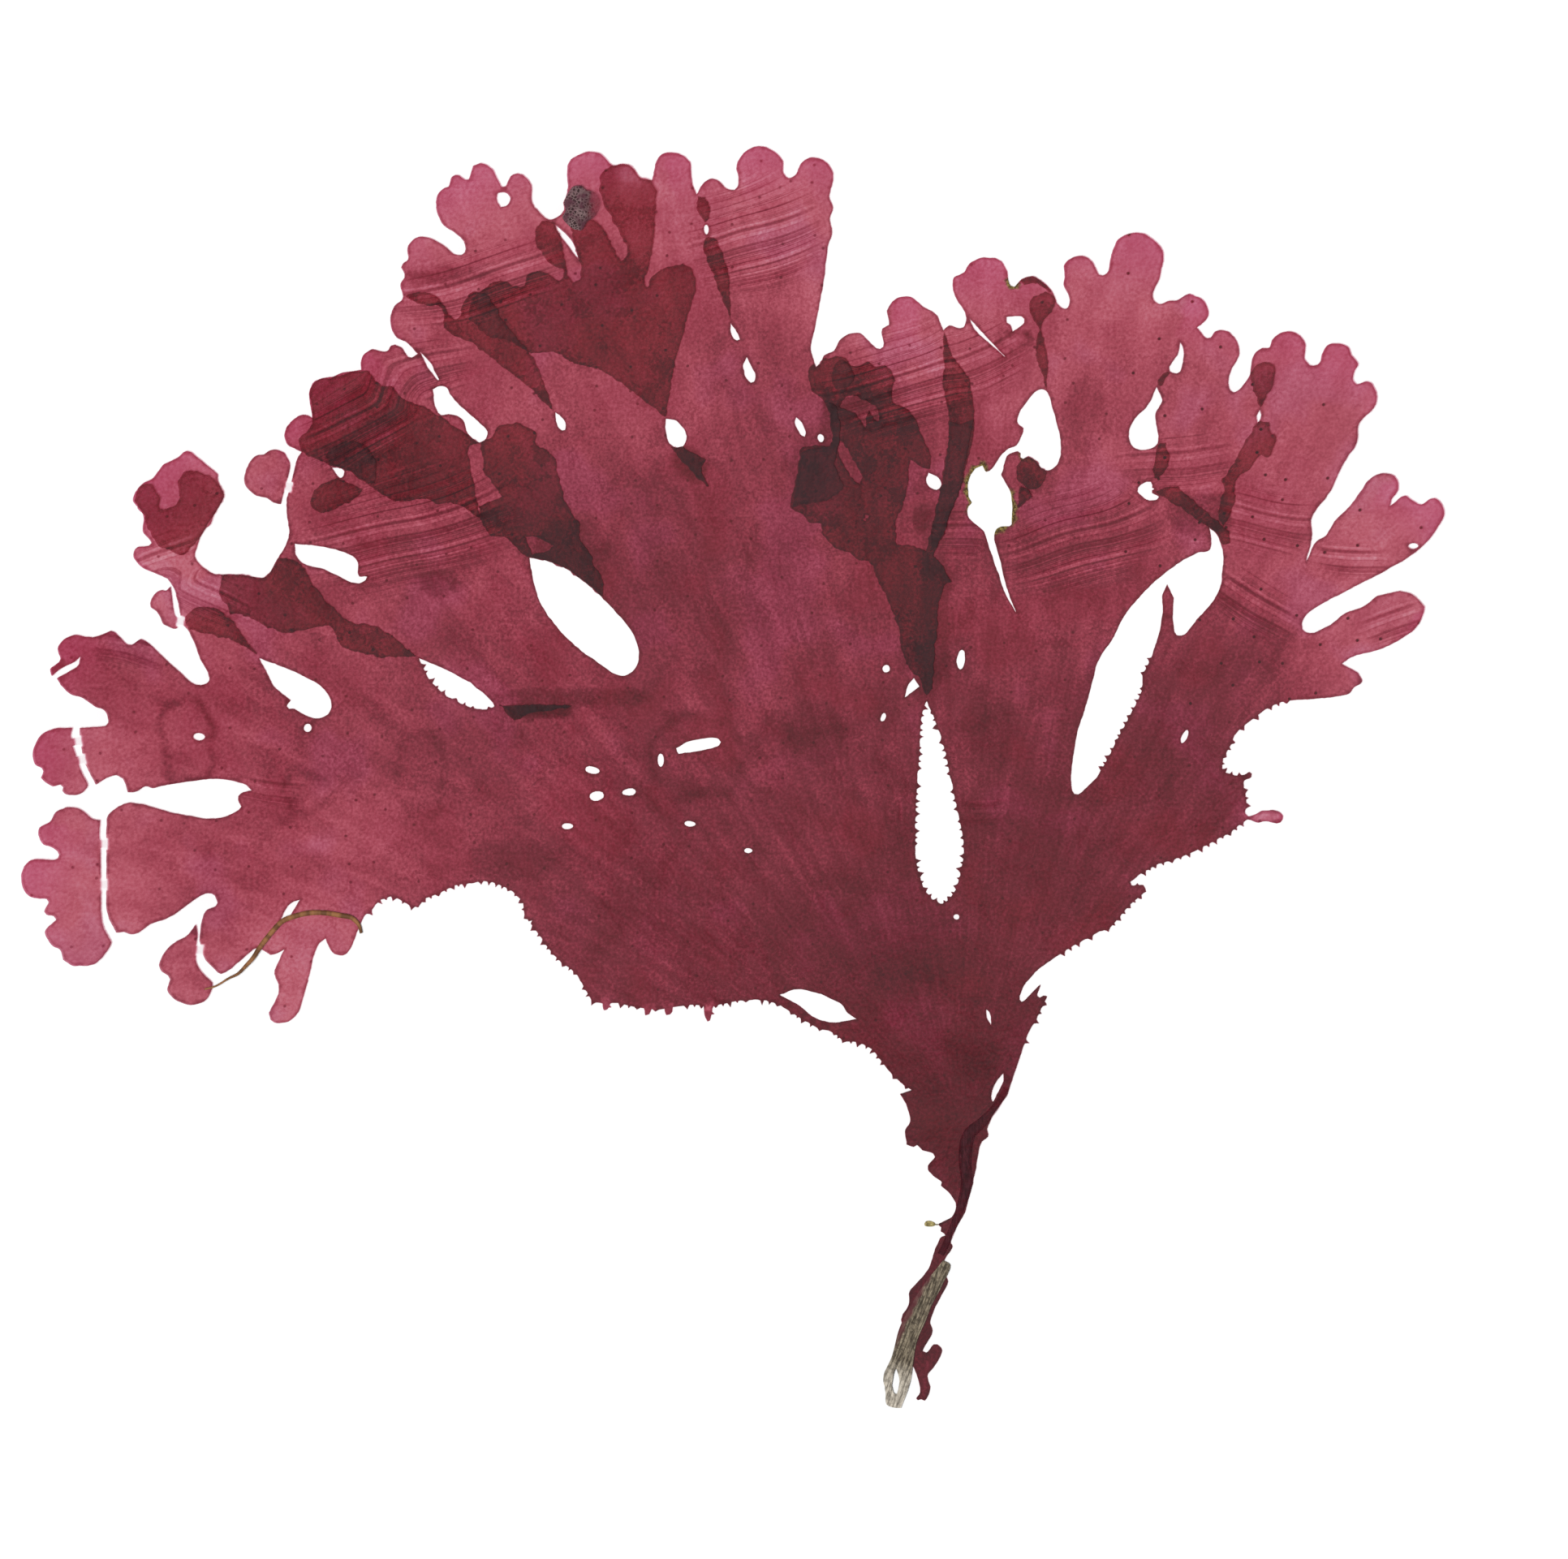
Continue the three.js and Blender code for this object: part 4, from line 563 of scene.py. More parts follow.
STAINS = tuple(Stain(*row) for row in (
    ((858, 935), (66, 48), 11.0, 0.55), ((375, 975), (30, 24), 8.0, 0.4),
    ((1000, 905), (40, 45), 0.0, 0.45), ((232, 912), (34, 50), 9.0, 0.6),
    ((540, 716), (24, 16), 0.0, 0.5), ((560, 340), (60, 12), 0.0, 0.4),
    ((700, 860), (90, 12), 0.0, 0.5), ((1150, 940), (70, 130), 14.0, 0.35),
    ((1222, 900), (30, 60), 0.0, 0.3), ((1250, 418), (18, 10), 4.0, 1.1),
    ((1134, 643), (12, 18), 0.0, 0.6), ((1060, 500), (36, 30), 0.0, 0.4),
    ((1275, 590), (26, 22), 0.0, 0.15), ((776, 214), (22, 15), 0.0, -0.35),
    ((705, 688), (48, 44), 0.0, 0.32), ((628, 640), (34, 16), 0.0, 0.3),
    ((1338, 512), (30, 52), 0.0, 0.2), ((430, 1012), (70, 50), 0.0, -0.22),
    ((1134, 1172), (90, 50), 0.0, 0.15), ((747, 1242), (9, 8), 0.0, -1.0),
    ((798, 1247), (9, 8), 0.0, -1.0), ((824, 1246), (7, 8), 0.0, -1.0),
    ((874, 1250), (9, 14), 0.0, -1.0), ((1560, 1006), (26, 10), 0.0, -1.0),
    ((520, 960), (26, 60), 10.0, 0.4), ((640, 1060), (60, 26), 0.0, 0.3),
    ((660, 876), (44, 10), 0.0, 1.3), ((850, 572), (22, 20), 0.0, 0.7),
    ((1480, 636), (40, 34), 0.0, 0.5), ((1005, 570), (34, 44), 0.0, 0.2),
    ((1020, 520), (9, 40), 0.0, 0.7), ((1150, 770), (24, 90), 0.0, 0.35),
))

# Places along torn edges where the blade has dried to a tan rim: middle and reach in pixels.
TAN_RIMS = (
    ((1193, 605), 34.0),
    ((1248, 625), 30.0),
    ((1232, 652), 14.0),
    ((1268, 560), 16.0),
    ((1246, 350), 12.0),
    ((1205, 578), 16.0),
)

# Nearly clear strips that hold the broken tips to the blade: both ends of each as picture positions.
STRIPS = (
    ((347, 598), (364, 602)),
    ((212, 764), (232, 768)),
    ((86, 915), (106, 912)),
    ((92, 938), (110, 934)),
    ((118, 1090), (138, 1090)),
    ((119, 1040), (138, 1040)),
    ((236, 1170), (256, 1172)),
)

# Midrib, crust and filament routes as picture positions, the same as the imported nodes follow.
RIB_ROUTE = ((1240, 1340), (1228, 1362), (1209, 1384), (1193, 1400), (1189, 1430), (1191, 1458),
             (1184, 1486), (1175, 1510), (1166, 1532), (1159, 1546))
STRAND_ROUTE = ((252, 1219), (266, 1215), (281, 1206), (293, 1200), (303, 1190), (312, 1180),
                (321, 1166), (336, 1147), (348, 1135), (363, 1129), (381, 1125), (400, 1125),
                (419, 1128), (433, 1131), (442, 1140), (445, 1150))
THREAD_ROUTE = ((1147, 1508), (1155, 1509), (1163, 1507), (1171, 1501))
FIBRE_ROUTES = (
    ((1162, 1558), (1143, 1592), (1124, 1630), (1112, 1662), (1098, 1688), (1094, 1712), (1098, 1730)),
    ((1166, 1562), (1150, 1594), (1136, 1624), (1124, 1654), (1119, 1684), (1112, 1708), (1106, 1731)),
)
STRIP_MIDDLES = tuple(place(((a[0] + b[0]) / 2.0, (a[1] + b[1]) / 2.0)) for a, b in STRIPS)


def outside_rest(x: float, y: float) -> float:
    """Distance in mm outside the flat triangle that the frond rests on, 0 inside it."""
    outside = 0.0
    for i in range(3):
        ax, ay = REST_CORNERS[i]
        bx, by = REST_CORNERS[(i + 1) % 3]
        across = (bx - ax) * (y - ay) - (by - ay) * (x - ax)
        outside = max(outside, -across / math.hypot(bx - ax, by - ay))
    return outside


def lift_at(x: float, y: float) -> float:
    """Height of the blade's underside over the floor.

    Args:
        x: position in mm.
        y: position in mm.

    Returns:
        The height in mm.
    """
    dx = (x - FLAT_CENTRE[0]) / FLAT_HALF[0]
    dy = (y - FLAT_CENTRE[1]) / FLAT_HALF[1]
    away = smoothstep((math.hypot(dx, dy) - 1.0) / 1.1)
    turn = math.atan2(dy, dx)
    ruffle = RUFFLE * math.sin(RUFFLE_COUNT * turn) * math.cos(3.0 * turn + 0.6)
    stipe = smoothstep((y - STIPE_FLAT_Y) / STIPE_BLEND)
    rise = REST_RISE * min(1.0, outside_rest(x, y) / REST_REACH)
    return max(0.0, TIP_LIFT * away + ruffle * away) * stipe + rise


def strip_mask(x: float, y: float) -> float:
    """How far a place lies within a clear strip, from 0 to 1."""
    best = 0.0
    for (start, end), middle in zip(STRIPS, STRIP_MIDDLES):
        p = Vector((x, y)) - Vector(middle)
        if p.length < 1.5:
            along = (Vector(place(end)) - Vector(place(start))).normalized()
            down = smoothstep((0.52 - abs(p.dot(along))) / 0.12)
            side = smoothstep((0.75 - abs(p.x * along.y - p.y * along.x)) / 0.1)
            best = max(best, down * side)
    return best


def near_strip(x: float, y: float, reach: float) -> bool:
    """Says whether a place is within reach of the middle of a clear strip."""
    return any(math.hypot(x - mx, y - my) < reach for mx, my in STRIP_MIDDLES)


@dataclass
class Outline:
    """Closed loops, in mm, that bound a sheet. A loop inside another is a hole."""

    loops: list[list[Point]] = field(default_factory=list)

    @staticmethod
    def from_node(node: bpy.types.Object, keep: Callable[[Vector, Vector], bool]) -> "Outline":
        """Reads the rim of some of a node's faces.

        Args:
            node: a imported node.
            keep: says whether a face belongs, from its middle in mm and its normal.

        Returns:
            The outline.
        """
        mesh = node.data
        keys = {}
        where = []
        corner = []
        for vertex in mesh.vertices:
            key = tuple(round(c, 7) for c in vertex.co)
            if key not in keys:
                keys[key] = len(where)
                where.append((vertex.co.x / MM, vertex.co.y / MM))
            corner.append(keys[key])
        directed = set()
        for polygon in mesh.polygons:
            if not keep(polygon.center / MM, polygon.normal):
                continue
            ring = [corner[v] for v in polygon.vertices]
            for a, b in zip(ring, ring[1:] + ring[:1]):
                directed.add((a, b))
        ahead = defaultdict(list)
        for a, b in sorted(directed):
            if (b, a) not in directed and a != b:
                ahead[a].append(b)
        loops = []
        for start in sorted(ahead):
            while ahead[start]:
                loop = [start]
                here = ahead[start].pop()
                while here != start and ahead[here]:
                    loop.append(here)
                    here = ahead[here].pop()
                if len(loop) > 2:
                    loops.append([where[v] for v in loop])
        return Outline(loops)

    def without_holes_under(self, cover: "Outline") -> "Outline":
        """Closes the small holes that lie under another sheet, left there by its foot.

        Args:
            cover: the outline of the sheet above.

        Returns:
            A new outline.
        """
        kept = []
        for loop in self.loops:
            x = sum(p[0] for p in loop) / len(loop)
            y = sum(p[1] for p in loop) / len(loop)
            small = abs(loop_area(loop)) < 9.0
            inner = any(holds(loop_b, (x, y)) for loop_b in self.loops if loop_b is not loop)
            covered = any(holds(other, (x, y)) for other in cover.loops)
            if not (small and inner and covered):
                kept.append(loop)
        return Outline(kept)

    def smoothed(self, spacing: float, ragged: float = 0.0) -> "Outline":
        """Rounds the loops through their own points, keeping sharp corners.

        Args:
            spacing: about how far apart the new points are, in mm.
            ragged: how far the margin wanders in and out, in mm.

        Returns:
            A new outline.
        """
        loops = []
        for loop in self.loops:
            fine = smooth_loop(with_small_teeth(loop) if ragged else loop, spacing)
            loops.append(roughen(fine, ragged) if ragged else fine)
        return Outline(loops)


def loop_area(loop: list[Point]) -> float:
    """Returns the signed area of a closed loop."""
    return 0.5 * sum(a[0] * b[1] - b[0] * a[1] for a, b in zip(loop, loop[1:] + loop[:1]))


def holds(loop: list[Point], point: Point) -> bool:
    """Says whether a closed loop holds a point."""
    inside = False
    for (ax, ay), (bx, by) in zip(loop, loop[1:] + loop[:1]):
        if (ay > point[1]) != (by > point[1]):
            if point[0] < ax + (point[1] - ay) * (bx - ax) / (by - ay):
                inside = not inside
    return inside


def corner_at(points: list[Vector], i: int) -> tuple[float, float, float]:
    """Returns how far a loop turns at a point, and the lengths of its sides before and after."""
    back = points[i - 1] - points[i]
    ahead = points[(i + 1) % len(points)] - points[i]
    return math.pi - back.angle(ahead, math.pi), back.length, ahead.length


def with_small_teeth(loop: list[Point]) -> list[Point]:
    """Adds a smaller tooth between each two neighbouring teeth of a fringe.

    Args:
        loop: the points.

    Returns:
        The points with the small teeth among them.
    """
    count = len(loop)
    points = [Vector(p) for p in loop]
    tooth = []
    for i in range(count):
        turn, back, ahead = corner_at(points, i)
        tooth.append(turn > 1.0 and 0.05 < back < 0.95 and 0.05 < ahead < 0.95)
    half = 0.17
    result = []
    for i, p in enumerate(points):
        result.append((p.x, p.y))
        ahead = points[(i + 1) % count] - p
        if tooth[i - 1] and tooth[(i + 2) % count] and 0.7 < ahead.length < 2.6:
            along = ahead.normalized()
            tip = points[i - 1] - p
            tall = 0.3 + 0.16 * wander(p.x, p.y, 1.7, 3.0)
            tall *= 1.0 if along.x * tip.y - along.y * tip.x > 0 else -1.0
            middle = p + ahead * 0.5
            result.append(tuple(middle - along * half))
            result.append((middle.x - along.y * tall, middle.y + along.x * tall))
            result.append(tuple(middle + along * half))
    return result


def roughen(loop: list[Point], amount: float) -> list[Point]:
    """Moves a margin's points a little in and out.

    Args:
        loop: the points.
        amount: how far they move, in mm.

    Returns:
        The moved points.
    """
    result = []
    for i, (x, y) in enumerate(loop):
        ahead, back = loop[(i + 1) % len(loop)], loop[i - 1]
        across = Vector((back[1] - ahead[1], ahead[0] - back[0]))
        if across.length < 1e-6 or near_strip(x, y, 1.0):
            result.append((x, y))
        else:
            out = amount * (1.3 * wander(x, y, 0.9, 21.0) + wander(x, y, 2.6, 5.0))
            result.append(tuple(Vector((x, y)) + across.normalized() * out))
    return result


def between(a: Vector, b: Vector, start: float, end: float, t: float) -> Vector:
    """Returns the point at t on the line that is at a at start and at b at end."""
    return a * ((end - t) / (end - start)) + b * ((t - start) / (end - start))


def smooth_loop(loop: list[Point], spacing: float) -> list[Point]:
    """Runs a centripetal curve through a loop's points, keeping sharp corners.

    Args:
        loop: the points.
        spacing: about how far apart the new points are.

    Returns:
        The new points.
    """
    clean = []
    for p in loop:
        if not clean or (Vector(p) - clean[-1]).length > 0.02:
            clean.append(Vector(p))
    count = len(clean)
    if count < 4:
        return [tuple(p) for p in clean]
    sharp = []
    for i in range(count):
        turn, back, ahead = corner_at(clean, i)
        sharp.append(turn > 1.25 and min(back, ahead) > 0.5)
    result = []
    for i in range(count):
        p1, p2 = clean[i], clean[(i + 1) % count]
        p0 = p1 + (p1 - p2) if sharp[i] else clean[i - 1]
        p3 = p2 + (p2 - p1) if sharp[(i + 1) % count] else clean[(i + 2) % count]
        times = [0.0]
        for a, b in ((p0, p1), (p1, p2), (p2, p3)):
            times.append(times[-1] + max(1e-3, (b - a).length) ** 0.5)
        t0, t1, t2, t3 = times
        local = STRIP_GRID if near_strip(p1.x, p1.y, 1.6) else spacing
        steps = max(1, round((p2 - p1).length / local))
        for k in range(steps):
            t = t1 + (t2 - t1) * k / steps
            a1, a2, a3 = (between(p0, p1, t0, t1, t), between(p1, p2, t1, t2, t),
                          between(p2, p3, t2, t3, t))
            b1, b2 = between(a1, a2, t0, t2, t), between(a2, a3, t1, t3, t)
            result.append(tuple(between(b1, b2, t1, t2, t)))
    return result


@dataclass
class Sheet:
    """A flat triangulated sheet, in mm, ready to be given heights.

    Attributes:
        points: the sheet's points.
        triangles: three point numbers each, anticlockwise.
        rim: directed edges along its margin.
    """

    points: list[Point]
    triangles: list[tuple[int, int, int]]
    rim: list[tuple[int, int]]

    @staticmethod
    def fill(outline: Outline, grid: float, seed: int) -> "Sheet":
        """Fills an outline with even triangles.

        Args:
            outline: the loops.
            grid: spacing of the inner points in mm.
            seed: seed of the small shifts that keep the triangles from lining up.

        Returns:
            The sheet.
        """
        points = []
        edges = []
        near = defaultdict(list)
        for loop in outline.loops:
            base = len(points)
            for i, p in enumerate(loop):
                points.append(Vector(p))
                edges.append((base + i, base + (i + 1) % len(loop)))
                near[(int(p[0] // grid), int(p[1] // grid))].append(p)
        rows = SideRows(outline, grid)
        points += [Vector(p) for p in inner_points(rows, grid, near, random.Random(seed))]
        made = delaunay_2d_cdt(points, edges, [], 1, 1e-5)
        where = [(v.x, v.y) for v in made[0]]
        triangles = []
        for face in made[2]:
            a, b, c = face[0], face[1], face[2]
            if loop_area([where[a], where[b], where[c]]) < 0:
                b, c = c, b
            x = (where[a][0] + where[b][0] + where[c][0]) / 3.0
            y = (where[a][1] + where[b][1] + where[c][1]) / 3.0
            if rows.holds(x, y):
                triangles.append((a, b, c))
        sides = set()
        for a, b, c in triangles:
            sides.update(((a, b), (b, c), (c, a)))
        rim = [(a, b) for a, b in sorted(sides) if (b, a) not in sides]
        return Sheet(where, triangles, rim)

    def rim_points(self) -> set[int]:
        """Returns the numbers of the points on the margin."""
        return {a for a, _ in self.rim}


class SideRows:
    """An outline's sides sorted into rows, to tell quickly what lies inside it."""

    def __init__(self, outline: Outline, height: float) -> None:
        """Sorts the sides into rows of the given height."""
        sides = [side for loop in outline.loops for side in zip(loop, loop[1:] + loop[:1])]
        self.height = height
        self.low = min(a[1] for a, _ in sides)
        self.high = max(a[1] for a, _ in sides)
        self.rows = defaultdict(list)
        for a, b in sides:
            for row in range(self.row(min(a[1], b[1])), self.row(max(a[1], b[1])) + 1):
                self.rows[row].append((a, b))

    def row(self, y: float) -> int:
        """Returns the number of the row that holds y."""
        return int((y - self.low) // self.height)

    def crossings(self, y: float) -> list[float]:
        """Returns the x positions, in order, where the outline crosses y."""
        found = []
        for (ax, ay), (bx, by) in self.rows[self.row(y)]:
            if (ay > y) != (by > y):
                found.append(ax + (y - ay) * (bx - ax) / (by - ay))
        return sorted(found)

    def holds(self, x: float, y: float) -> bool:
        """Says whether a place is inside the outline and in none of its holes."""
        return sum(1 for crossing in self.crossings(y) if crossing < x) % 2 == 1


def inner_points(rows: SideRows, grid: float, near: dict, rng: random.Random) -> list[Point]:
    """Spreads points inside an outline, clear of its margin.

    Args:
        rows: the outline's sides in rows.
        grid: spacing in mm.
        near: margin points by grid cell.
        rng: the seeded source of the small shifts.

    Returns:
        The points.
    """
    found = []
    count = int((rows.high - rows.low) / (grid * 0.866))
    for row in range(count):
        y = rows.low + (row + 0.5) * grid * 0.866
        crossings = rows.crossings(y)
        for start, end in zip(crossings[::2], crossings[1::2]):
            x = math.ceil(start / grid) * grid + (0.5 * grid if row % 2 else 0.0)
            while x < end:
                p = (x + grid * 0.18 * (rng.random() - 0.5), y + grid * 0.18 * (rng.random() - 0.5))
                if clear_of(p, near, grid, 0.45 * grid) and not near_strip(p[0], p[1], 1.0):
                    found.append(p)
                x += grid
    return found + strip_points(rows, near, grid)


def strip_points(rows: SideRows, near: dict, grid: float) -> list[Point]:
    """Gives closely spaced points round the clear strips."""
    found = []
    for mx, my in STRIP_MIDDLES:
        for i in range(-6, 7):
            for j in range(-6, 7):
                p = (mx + STRIP_GRID * i, my + STRIP_GRID * j)
                if rows.low < p[1] < rows.high and rows.holds(*p) and clear_of(p, near, grid, 0.09):
                    found.append(p)
    return found


def clear_of(p: Point, near: dict, grid: float, reach: float) -> bool:
    """Says whether a point is further than reach from every margin point."""
    cx, cy = int(p[0] // grid), int(p[1] // grid)
    for i in (-1, 0, 1):
        for j in (-1, 0, 1):
            for q in near.get((cx + i, cy + j), ()):
                if math.hypot(p[0] - q[0], p[1] - q[1]) < reach:
                    return False
    return True


class Shell:
    """A closed thin body made of one or more sheets, with attributes for its shader."""

    def __init__(self, name: str) -> None:
        """Starts an empty body."""
        self.name = name
        self.vertices: list[tuple[float, float, float]] = []
        self.faces: list[tuple[int, ...]] = []
        self.under: set[int] = set()
        self.values: dict[str, list] = defaultdict(list)

    def add(self, sheet: Sheet, top: Callable, bottom: Callable, attributes: Callable) -> None:
        """Adds a sheet as a closed shell.

        Args:
            sheet: the flat sheet.
            top: height in mm of the upper face from x and y.
            bottom: height in mm of the lower face from x and y.
            attributes: gives a dict of values from a point's number, x and y.
        """
        base = len(self.vertices)
        count = len(sheet.points)
        known = [attributes(i, x, y) for i, (x, y) in enumerate(sheet.points)]
        for height in (top, bottom):
            for i, (x, y) in enumerate(sheet.points):
                self.vertices.append((x * MM, y * MM, height(x, y) * MM))
                for key, value in known[i].items():
                    self.values[key].append(value)
        for a, b, c in sheet.triangles:
            self.faces.append((base + a, base + b, base + c))
            self.under.add(len(self.faces))
            self.faces.append((base + count + a, base + count + c, base + count + b))
        for a, b in sheet.rim:
            self.under.add(len(self.faces))
            self.faces.append((base + b, base + a, base + count + a, base + count + b))

    def add_rod(self, line: list[Vector], radii: list[float], sides: int, flat: float,
                attributes: Callable) -> None:
        """Adds a closed round rod.

        Args:
            line: its centre line in mm.
            radii: its half width at each point in mm.
            sides: how many sides it has.
            flat: its height as a share of its width.
            attributes: gives a dict of values from the length so far and the point.
        """
        base = len(self.vertices)
        so_far = 0.0
        for i, p in enumerate(line):
            ahead = line[min(i + 1, len(line) - 1)] - line[max(i - 1, 0)]
            across = Vector((-ahead.y, ahead.x, 0.0)).normalized()
            so_far += (p - line[i - 1]).length if i else 0.0
            for k in range(sides):
                a = 2.0 * math.pi * k / sides
                q = p + across * (radii[i] * math.cos(a)) + Vector((0, 0, radii[i] * flat * math.sin(a)))
                self.vertices.append((q.x * MM, q.y * MM, q.z * MM))
                for key, value in attributes(so_far, q).items():
                    self.values[key].append(value)
        for i in range(len(line) - 1):
            for k in range(sides):
                a = base + i * sides + k
                b = base + i * sides + (k + 1) % sides
                self.faces.append((a, a + sides, b + sides, b))
        self.faces.append(tuple(base + k for k in range(sides)))
        last = base + (len(line) - 1) * sides
        self.faces.append(tuple(last + k for k in reversed(range(sides))))

    def build(self, materials: list[bpy.types.Material], slot: str, *nodes: str) -> bpy.types.Object:
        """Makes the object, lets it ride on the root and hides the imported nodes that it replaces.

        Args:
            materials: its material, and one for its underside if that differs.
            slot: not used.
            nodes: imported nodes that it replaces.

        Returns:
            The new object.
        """
        mesh = bpy.data.meshes.new(self.name)
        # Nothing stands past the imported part's own box.
        inside = [tuple(min(max(c, low), high) for c, low, high in zip(vertex, *CAD_BOX))
                  for vertex in self.vertices]
        mesh.from_pydata(inside, [], self.faces)
        mesh.update()
        for key, values in self.values.items():
            if isinstance(values[0], tuple):
                layer = mesh.attributes.new(key, "FLOAT_VECTOR", "POINT")
                layer.data.foreach_set("vector", [c for v in values for c in v])
            else:
                layer = mesh.attributes.new(key, "FLOAT", "POINT")
                layer.data.foreach_set("value", values)
        for material in materials:
            mesh.materials.append(material)
        if len(materials) > 1:
            for i in self.under:
                mesh.polygons[i].material_index = 1
        mesh.shade_smooth()
        mesh.set_sharp_from_angle(angle=math.radians(50.0))
        piece = bpy.data.objects.new(self.name, mesh)
        bpy.context.collection.objects.link(piece)
        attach(piece, "root")
        if nodes:
            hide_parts(*nodes)
        LOG.info("%s: %d faces", self.name, len(mesh.polygons))
        return piece


@dataclass
class Blade:
    """The frond's blade and the lobes and folds that lie over it. Sizes are in mm.

    Its root is where it starts above the stipe, and reach says how far it goes from there in each
    direction. Ragged, tints and mottles have a value for each layer.
    """

    node: bpy.types.Object
    root: Point = place((1185, 1400))
    grid: float = 0.74
    rim: float = 0.3
    ragged: tuple[float, ...] = (0.05, 0.16, 0.16)
    tints: tuple[float, ...] = (1.0, 0.8, 0.8)
    mottles: tuple[float, ...] = (1.0, 3.2, 3.2)
    wrinkle: float = 0.07
    reach: dict[int, float] = field(default_factory=dict)

    @staticmethod
    def crease(x: float, y: float) -> tuple[float, float]:
        """Finds the pressed wrinkles at a place.

        Args:
            x: position in mm.
            y: position in mm.

        Returns:
            The distance across the wrinkles in mm, and how strong they are.
        """
        found = [zone.at(x, y) for zone in CREASES]
        weight = sum(mask for _, mask in found)
        if weight < 1e-4:
            return (0.0, 0.0)
        total = sum(mask * across for across, mask in found)
        return total / weight + 0.9 * wander(x, y, 0.11, 2.0), max(mask for _, mask in found)

    def height(self, layer: Layer, x: float, y: float) -> float:
        """Gives the height of a layer's middle, with its fine wrinkles.

        Args:
            layer: the layer.
            x: position in mm.
            y: position in mm.

        Returns:
            The height in mm.
        """
        soft = wander(x, y, 0.21, layer.value * 3.7)
        fine = wander(x, y, 0.75, layer.value * 5.1)
        across, mask = self.crease(x, y)
        ridge = self.wrinkle * mask * math.sin(across * 2.4 + 2.0 * wander(across, 0.0, 0.5))
        step = FILM_HEIGHT + LAYER_STEP * layer.value
        return lift_at(x, y) + step + 0.07 * soft + 0.03 * fine + ridge

    @staticmethod
    def depth(x: float, y: float) -> float:
        """How deep the blade's colour is at a place, from the anchors and stains near it."""
        added = sum(stain.at(x, y) for stain in STAINS)
        total = 0.0
        weight = 0.0
        for at, value in DEPTHS:
            ax, ay = place(at)
            w = 1.0 / ((x - ax) ** 2 + (y - ay) ** 2 + 9.0) ** 1.5
            total += w * value
            weight += w
        return max(0.35, total / weight + added)

    def polar(self, x: float, y: float) -> tuple[float, float]:
        """Returns a place's direction in radians and its distance in mm from the root."""
        dx, dy = x - self.root[0], y - self.root[1]
        return math.atan2(dy, dx), math.hypot(dx, dy)

    def measure_reach(self, loops: list[list[Point]]) -> None:
        """Notes how far the blade reaches from its root in each direction."""
        for loop in loops:
            for x, y in loop:
                turn, away = self.polar(x, y)
                step = round(math.degrees(turn) / 2.0)
                for k in (step - 1, step, step + 1):
                    self.reach[k] = max(self.reach.get(k, 0.0), away)

    def tip(self, x: float, y: float) -> float:
        """How near a place is to the growing tips, from 0 to 1."""
        turn, away = self.polar(x, y)
        far = self.reach.get(round(math.degrees(turn) / 2.0), 100.0)
        if y < self.root[1] + 12.0 or far < 45.0:
            return 0.0
        return smoothstep((away - (far - 8.0)) / 8.0)

    def outlines(self) -> dict[Layer, Outline]:
        """Reads each layer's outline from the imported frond.

        Returns:
            The outlines by layer.
        """
        def kept(layer: Layer, middle: Vector, normal: Vector) -> bool:
            """Says whether a face belongs to a layer."""
            up = middle.z - lift_at(middle.x, middle.y)
            if layer is Layer.BLADE:
                return normal.z < -0.7 and up < 0.42
            return normal.z > 0.7 and round((up - BLADE) / LAYER_STEP) == layer.value

        found = {layer: Outline.from_node(self.node, partial(kept, layer)) for layer in Layer}
        found[Layer.OVER] = found[Layer.OVER].without_holes_under(found[Layer.TOP])
        return found

    def build(self) -> bpy.types.Object:
        """Builds the blade's sheets as one piece.

        Returns:
            The piece.
        """
        outlines = self.outlines()
        self.measure_reach(outlines[Layer.BLADE].loops)
        shell = Shell("frond_blade")
        for layer, outline in outlines.items():
            margin = outline.smoothed(self.rim, self.ragged[layer.value])
            sheet = Sheet.fill(margin, self.grid, 11 + layer.value)
            LOG.info("layer %s: %d points", layer.name, len(sheet.points))
            self.add_layer(shell, sheet, layer)
        finish = FilmFinish()
        return shell.build([finish.material(), finish.under_material()], "thallus", "frond")

    def add_layer(self, shell: Shell, sheet: Sheet, layer: Layer) -> None:
        """Adds one layer's sheet to the shell with its shading values."""
        margin = sheet.rim_points()
        torn_spots = [(place(p), r * MM_PER_PIXEL) for p, r in TAN_RIMS]

        def values(i: int, x: float, y: float) -> dict:
            """Returns the shader's values at a point."""
            across, mask = self.crease(x, y)
            turn, away = self.polar(x, y)
            torn = max(smoothstep(1.4 - 1.4 * math.hypot(x - p[0], y - p[1]) / r) for p, r in torn_spots)
            strip = strip_mask(x, y)
            # edge is 1 on the margin: the film paints shade along it, and the tan rim sits on it.
            edge = 1.0 - strip if i in margin else 0.0
            return {
                "depth": self.tints[layer.value] * self.depth(x, y),
                "tip": 0.75 * self.tip(x, y),
                "edge": edge,
                # The crease values place the painted shade and highlight of the wrinkles in the film.
                "crease": across,
                "crease_mask": mask,
                "tan": edge * torn if layer is Layer.BLADE else 0.0,
                "clear_strip": strip,
                "mottle": self.mottles[layer.value],
                "specks": 1.0 if x > 46.0 and y > 8.0 else 0.35,
                "flow": (turn * 42.0, away * 0.09, 0.0),
            }

        shell.add(sheet, lambda x, y: self.height(layer, x, y) + 0.5 * FILM,
                  lambda x, y: self.height(layer, x, y) - 0.5 * FILM, values)


def lowest(node: bpy.types.Object) -> float:
    """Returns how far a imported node's lowest point is above the blade's lift, in mm."""
    return min(v.co.z / MM - lift_at(v.co.x / MM, v.co.y / MM) for v in node.data.vertices)


